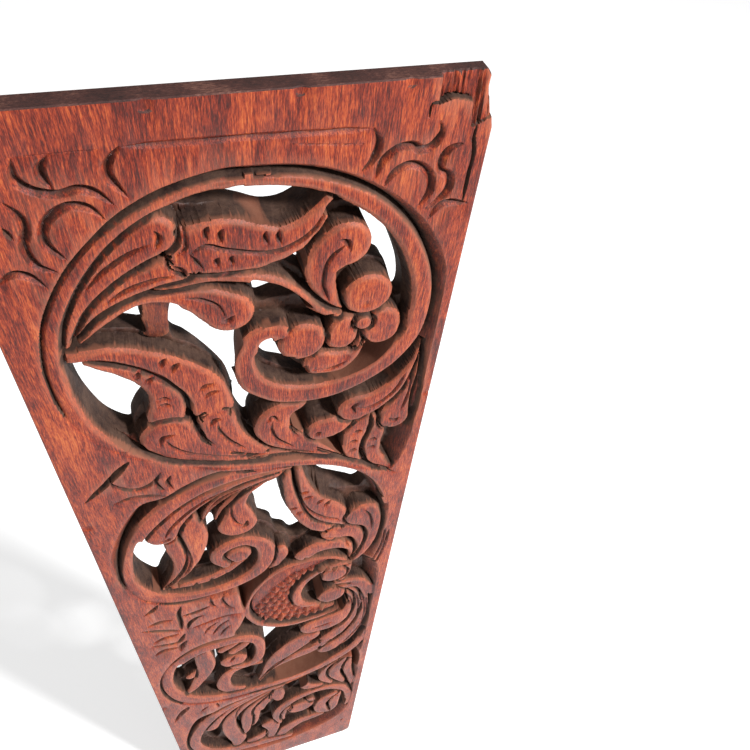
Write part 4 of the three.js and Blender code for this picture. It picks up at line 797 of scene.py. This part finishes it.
# The saw leaned in three places, so those walls reach the back a little off their line.
bx, bh = px.copy(), ph.copy()
for x, up, reach, dx, dh in ((-13, 742, 34, 4, -13), (48, 612, 30, 2, 8), (10, 762, 18, 0, 6)):
    pull = np.clip(1 - ((px - x) ** 2 + (ph - up) ** 2) / reach ** 2, 0, 1) ** 2
    bx, bh = bx + dx * pull, bh + dh * pull
behind = np.column_stack([bx, pb, bh - MOUNT_UP])
place = np.full(used.size, -1)
place[rims] = np.arange(rims.size)
points = [front, behind]
rows = [rims]
start = 2 * used.size
inner = (px[rims] > -99.9) & (px[rims] < 99.9) & (ph[rims] > 0.1) & (ph[rims] < 890.9)
for k in range(1, WALL_STEPS):
    t = k / WALL_STEPS
    ring = front[rims] * (1 - t) + behind[rims] * t
    sway = 0.16 * np.sin(ph[rims] * 0.37 + k * 2.1) + 0.12 * np.sin(px[rims] * 0.61 - k)
    ring[:, 0] += np.where(inner, sway, 0)
    ring[:, 0] = np.clip(ring[:, 0], -HALF, HALF)
    points.append(ring)
    rows.append(start + np.arange(rims.size))
    start += rims.size
rows.append(used.size + rims)
p, q = place[rim[:, 0]], place[rim[:, 1]]
walls = []
for upper, lower in zip(rows[:-1], rows[1:]):
    walls.append(np.column_stack([upper[q], upper[p], lower[p]]))
    walls.append(np.column_stack([upper[q], lower[p], lower[q]]))
all_tris = np.vstack([tris, tris[:, ::-1] + used.size] + walls)
points = np.vstack(points) / 1000

mesh = bpy.data.meshes.new("carved_wood")
mesh.vertices.add(len(points))
mesh.vertices.foreach_set("co", points.ravel())
mesh.loops.add(all_tris.size)
mesh.loops.foreach_set("vertex_index", all_tris.ravel().astype(np.int32))
mesh.polygons.add(len(all_tris))
mesh.polygons.foreach_set("loop_start", np.arange(0, all_tris.size, 3, dtype=np.int32))
mesh.update(calc_edges=True)
board = bpy.data.objects.new("carved_wood", mesh)
bpy.context.scene.collection.objects.link(board)

thin = board.modifiers.new("thin", "DECIMATE")
thin.ratio = min(1.0, TRIANGLES / len(all_tris))
bpy.context.view_layer.update()
made = bpy.data.meshes.new_from_object(board.evaluated_get(bpy.context.evaluated_depsgraph_get()))
board.modifiers.remove(thin)
board.data = made
bpy.data.meshes.remove(mesh)
mesh = made
mesh.name = "carved_wood"

# ---- Readings for the finish, at every point of the mesh -----------------------------------
# How far a point lies in a hollow or out on an arris, for the dirt and painted shade in the hollows and the
# wear and painted sheen on the arrises, and how deep it is. Then which faces are the planed edges and which
# the end grain.
shown = np.where(solid_wood < 0, np.maximum(face, 9.0), face)
maps = {
    "hollow": np.clip((face - soften(shown, 3)) / 1.1, -1, 1),
    "deep": np.clip(face / GROUND, 0, 1),
}
count = len(mesh.vertices)
co = np.zeros(count * 3)
mesh.vertices.foreach_get("co", co)
co = co.reshape(-1, 3) * 1000
u = np.clip((co[:, 0] + HALF) / FINE, 0, len(across) - 1.001)
v = np.clip(np.interp(co[:, 2] + MOUNT_UP, ups, np.arange(len(ups))), 0, len(ups) - 1.001)
i, j = v.astype(int), u.astype(int)
fv, fu = v - i, u - j


def read(field):
    return ((field[i, j] * (1 - fu) + field[i, j + 1] * fu) * (1 - fv)
            + (field[i + 1, j] * (1 - fu) + field[i + 1, j + 1] * fu) * fv)


under = co[:, 1] + THICK - read(face)
for name, field in maps.items():
    layer = mesh.attributes.new(name, "FLOAT", "POINT")
    layer.data.foreach_set("value", read(field).astype(np.float32))
mesh.polygons.foreach_set("use_smooth", np.ones(len(mesh.polygons), bool))
mesh.set_sharp_from_angle(angle=math.radians(35))
centre, facing = np.zeros(len(mesh.polygons) * 3), np.zeros(len(mesh.polygons) * 3)
mesh.polygons.foreach_get("center", centre)
mesh.polygons.foreach_get("normal", facing)
centre, facing = centre.reshape(-1, 3) * 1000, facing.reshape(-1, 3)
corner_under = under[np.array([p.vertices[:] for p in mesh.polygons])]
sawn_face = (np.abs(facing[:, 1]) < 0.5) & (corner_under.max(1) > 1.5)
end_face = (centre[:, 2] + MOUNT_UP > 886) & ((facing[:, 2] > 0.35) | (facing[:, 1] > 0.3))
end_face |= (centre[:, 2] + MOUNT_UP < 1) & (facing[:, 2] < -0.6)
edge_face = sawn_face & (np.abs(centre[:, 0]) > 97)
CARVED, PLANED, ENDS = 0, 1, 2
slots = np.where(end_face, ENDS, np.where(edge_face, PLANED, CARVED))
mesh.polygons.foreach_set("material_index", slots.astype(np.int32))

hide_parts("carved_board")
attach(board, "root")


# ---- Oiled reddish hardwood, hand carved ---------------------------------------------------
# Plain-sawn tropical hardwood: orange and dark red streaks run up the board, with short open
# pores. The cuts are darkened, partly by old oil and dirt and partly as painted shade, the sawn walls are
# dusty brown, and the arrises are paler, partly worn and partly a painted sheen.
def shade(text):
    """An sRGB colour written as hex, in linear light."""
    value = [int(text[k:k + 2], 16) / 255 for k in (0, 2, 4)]
    return [c / 12.92 if c <= 0.04045 else ((c + 0.055) / 1.055) ** 2.4 for c in value] + [1.0]


def add(tree, kind, settings=None, **links):
    """Adds a node with its settings, and links each named input."""
    node = tree.nodes.new("ShaderNode" + kind)
    for key, value in (settings or {}).items():
        if isinstance(key, int) or key in node.inputs:
            node.inputs[key].default_value = value
        else:
            setattr(node, key, value)
    for key, source in links.items():
        name = int(key[1:]) if key[0] == "i" and key[1:].isdigit() else key.replace("_", " ")
        tree.links.new(node.inputs[name], source)
    return node


def cells(*size):
    """The pattern scale for cells of this size in mm."""
    return tuple(1000 / s for s in size)


wood = bpy.data.materials.new("oiled_red_hardwood")
wood.use_nodes = True
tree = wood.node_tree
tree.nodes.clear()
where = add(tree, "TexCoord").outputs["Object"]
bend = add(tree, "TexNoise", {"Scale": cells(55.6)[0], "Detail": 2.0}, Vector=where).outputs["Color"]
wander = {"blend_type": "LINEAR_LIGHT", "Fac": 0.0016}
swim = add(tree, "MixRGB", wander, Color1=where, Color2=bend).outputs[0]
stretch = add(tree, "Mapping", {"Scale": cells(0.6667, 1.111, 7.692)}, Vector=swim).outputs[0]
fine = add(tree, "Mapping", {"Scale": cells(0.2778, 0.3846, 1.923)}, Vector=swim).outputs[0]
broad = add(tree, "Mapping", {"Scale": cells(11.76, 11.76, 55.56)}, Vector=swim).outputs[0]
# Streaks 0.7 mm wide and 8 mm long, finer threads, and broad clouds of colour.
streak = add(tree, "TexNoise", {"Scale": 1.0, "Detail": 4.0, "Roughness": 0.6}, Vector=stretch).outputs[0]
thread = add(tree, "TexNoise", {"Scale": 1.0, "Detail": 2.0, "Roughness": 0.55}, Vector=fine).outputs[0]
cloud = add(tree, "TexNoise", {"Scale": 1.0, "Detail": 4.0, "Roughness": 0.6}, Vector=broad).outputs[0]
grain_1 = add(tree, "Math", {"operation": "MULTIPLY_ADD", 1: 0.55}, i0=thread, i2=streak).outputs[0]
grain_2 = add(tree, "Math", {"operation": "MULTIPLY_ADD", 1: 0.75}, i0=cloud, i2=grain_1).outputs[0]
level = add(tree, "MapRange", {"From Min": 0.82, "From Max": 1.5}, Value=grain_2).outputs[0]
tone = add(tree, "ValToRGB", {}, Fac=level)
ramp = tone.color_ramp
ramp.elements[0].position, ramp.elements[0].color = 0.15, shade("3A100A")
ramp.elements[1].position, ramp.elements[1].color = 0.92, shade("B05A2C")
for at, colour in ((0.36, "5E1C10"), (0.52, "7C2A16"), (0.68, "983E1D")):
    stop = ramp.elements.new(at)
    stop.color = shade(colour)

hollow = add(tree, "Attribute", {"attribute_name": "hollow"}).outputs["Fac"]
deep = add(tree, "Attribute", {"attribute_name": "deep"}).outputs["Fac"]
facing_out = add(tree, "SeparateXYZ", Vector=add(tree, "NewGeometry").outputs["Normal"]).outputs["Y"]
dirt = {"Scale": cells(1.923)[0], "Detail": 3.0, "Roughness": 0.7}
grit = add(tree, "TexNoise", dirt, Vector=where).outputs[0]
patches = {"Scale": cells(13.33)[0], "Detail": 5.0, "Roughness": 0.65}
blot = add(tree, "TexNoise", patches, Vector=where).outputs[0]

# Dirt and painted shade darken the hollows, dust covers the steep sides and the ground, and wear and a
# painted sheen pale the arrises.
# Painted shade: the hollows are mixed towards a near-black brown, together with old oil and dirt.
grime_and_shade = add(tree, "MapRange", {"From Min": 0.1, "From Max": 0.9, "To Max": 0.85}, Value=hollow).outputs[0]
grimed_and_shaded = add(tree, "MixRGB", {"Color2": shade("2A120D")}, Fac=grime_and_shade, Color1=tone.outputs[0]).outputs[0]
steep = add(tree, "MapRange", {"From Min": -0.72, "From Max": -0.5}, Value=facing_out).outputs[0]
soot = add(tree, "Math", {"operation": "MULTIPLY_ADD", 1: 0.4}, i0=grit, i2=blot).outputs[0]
dusty = add(tree, "MapRange", {"From Min": 0.5, "From Max": 0.95}, Value=soot).outputs[0]
dust = add(tree, "MixRGB", {"Color1": shade("200F0B"), "Color2": shade("563F33")}, Fac=dusty).outputs[0]
dusted = add(tree, "MixRGB", {}, Fac=steep, Color1=grimed_and_shaded, Color2=dust).outputs[0]
low = add(tree, "MapRange", {"From Min": 0.5, "From Max": 0.9, "To Max": 0.9}, Value=deep).outputs[0]
floored = add(tree, "MixRGB", {}, Fac=low, Color1=dusted, Color2=dust).outputs[0]
# Painted sheen: the raised arrises are mixed towards a pale pink-brown, together with wear.
wear_and_sheen = add(tree, "MapRange", {"From Min": -0.25, "From Max": -0.9, "To Max": 0.35}, Value=hollow).outputs[0]
rubbed_and_sheened = add(tree, "MixRGB", {"Color2": shade("A9684E")}, Fac=wear_and_sheen, Color1=floored).outputs[0]

rough = add(tree, "MapRange", {"To Min": 0.38, "To Max": 0.62}, Value=blot).outputs[0]
matt = {"operation": "MULTIPLY_ADD", 1: 0.35, "use_clamp": True}
dull = add(tree, "Math", matt, i0=steep, i2=rough).outputs[0]
tall = add(tree, "Math", {"operation": "MULTIPLY_ADD", 1: 0.5}, i0=grit, i2=thread).outputs[0]
bump = add(tree, "Bump", {"Strength": 0.4, "Distance": 0.0005}, Height=tall).outputs[0]
oil = {"IOR": 1.45, "Specular IOR Level": 0.35}
skin = add(tree, "BsdfPrincipled", oil, Base_Color=rubbed_and_sheened, Roughness=dull, Normal=bump)
add(tree, "OutputMaterial", {}, Surface=skin.outputs[0])
mesh.materials.append(wood)

# The two long edges of the board are planed and oiled like the face, without the dust.
side = wood.copy()
side.name = "oiled_hardwood_edge"
for link in [k for k in side.node_tree.links if k.to_socket.name == "Base Color"]:
    grain = next(n for n in side.node_tree.nodes if n.type == "VALTORGB")
    side.node_tree.links.new(grain.outputs["Color"], link.to_socket)
mesh.materials.append(side)

# End grain at the head and foot: dark with handling, open-pored and a little furred.
ends = bpy.data.materials.new("dark_end_grain")
ends.use_nodes = True
tree = ends.node_tree
tree.nodes.clear()
where = add(tree, "TexCoord").outputs["Object"]
rings = add(tree, "Mapping", {"Scale": cells(2, 0.7143, 3.333)}, Vector=where).outputs[0]
blot = add(tree, "TexNoise", {"Scale": 1.0, "Detail": 5.0, "Roughness": 0.7}, Vector=rings).outputs[0]
patches = {"Scale": cells(16.67)[0], "Detail": 4.0, "Roughness": 0.6}
stain = add(tree, "TexNoise", patches, Vector=where).outputs[0]
grain_1 = add(tree, "Math", {"operation": "ADD"}, i0=stain, i1=blot).outputs[0]
level = add(tree, "MapRange", {"From Min": 0.7, "From Max": 1.35}, Value=grain_1).outputs[0]
dust = add(tree, "ValToRGB", {}, Fac=level)
ramp = dust.color_ramp
ramp.elements[0].position, ramp.elements[0].color = 0.05, shade("241412")
ramp.elements[1].position, ramp.elements[1].color = 0.98, shade("80584A")
stop = ramp.elements.new(0.55)
stop.color = shade("4A2A24")
bump = add(tree, "Bump", {"Strength": 0.7, "Distance": 0.0006}, Height=blot).outputs[0]
skin = add(tree, "BsdfPrincipled", {"Roughness": 0.72, "IOR": 1.4}, Base_Color=dust.outputs[0], Normal=bump)
add(tree, "OutputMaterial", {}, Surface=skin.outputs[0])
mesh.materials.append(ends)

# ---- Pale floor ----------------------------------------------------------------------------
# A large smooth pale floor that the foot of the board stands on.
floor_mesh = bpy.data.meshes.new("floor")
FLOOR, REACH = -0.8612, 8
corners = [(-REACH, -REACH, FLOOR), (REACH, -REACH, FLOOR), (REACH, REACH, FLOOR), (-REACH, REACH, FLOOR)]
floor_mesh.from_pydata(corners, [], [(0, 1, 2, 3)])
floor = bpy.data.objects.new("floor", floor_mesh)
bpy.context.scene.collection.objects.link(floor)
paper = bpy.data.materials.new("white_paper")
paper.use_nodes = True
paper_skin = paper.node_tree.nodes["Principled BSDF"]
paper_skin.inputs["Base Color"].default_value = shade("F4F4F4")
paper_skin.inputs["Roughness"].default_value = 0.9
paper_skin.inputs["Emission Color"].default_value = (1, 1, 1, 1)
paper_skin.inputs["Emission Strength"].default_value = 0.5
floor_mesh.materials.append(paper)

# ---- Light ---------------------------------------------------------------------------------
# One soft lamp, 0.3 m across, high on the right in front, and an even pale surround.
world = bpy.data.worlds.new("surround")
world.use_nodes = True
world.node_tree.nodes["Background"].inputs[0].default_value = (1, 1, 1, 1)
world.node_tree.nodes["Background"].inputs[1].default_value = 0.36
bpy.context.scene.world = world
bpy.context.scene.view_settings.view_transform = "Standard"

key = bpy.data.lights.new("key", "AREA")
key.shape, key.size, key.energy = "DISK", 0.3, 88
lamp = bpy.data.objects.new("key", key)
lamp.location = (1.35, -1.25, 1.1)
aim = Vector((0, 0, -0.35)) - lamp.location
lamp.rotation_euler = aim.to_track_quat("-Z", "Y").to_euler()
bpy.context.scene.collection.objects.link(lamp)

# ---- Camera --------------------------------------------------------------------------------
# Close above the head of the board, looking steeply down along its face.
eye = bpy.data.cameras.new("camera")
eye.lens, eye.sensor_width = 34.46, 36.0
eye.clip_start = 0.01
camera = bpy.data.objects.new("camera", eye)
camera.location = (-0.03912, -0.24731, 0.15394)
camera.rotation_euler = [math.radians(v) for v in (40.4897, -5.3536, -18.5482)]
bpy.context.scene.collection.objects.link(camera)
bpy.context.scene.camera = camera
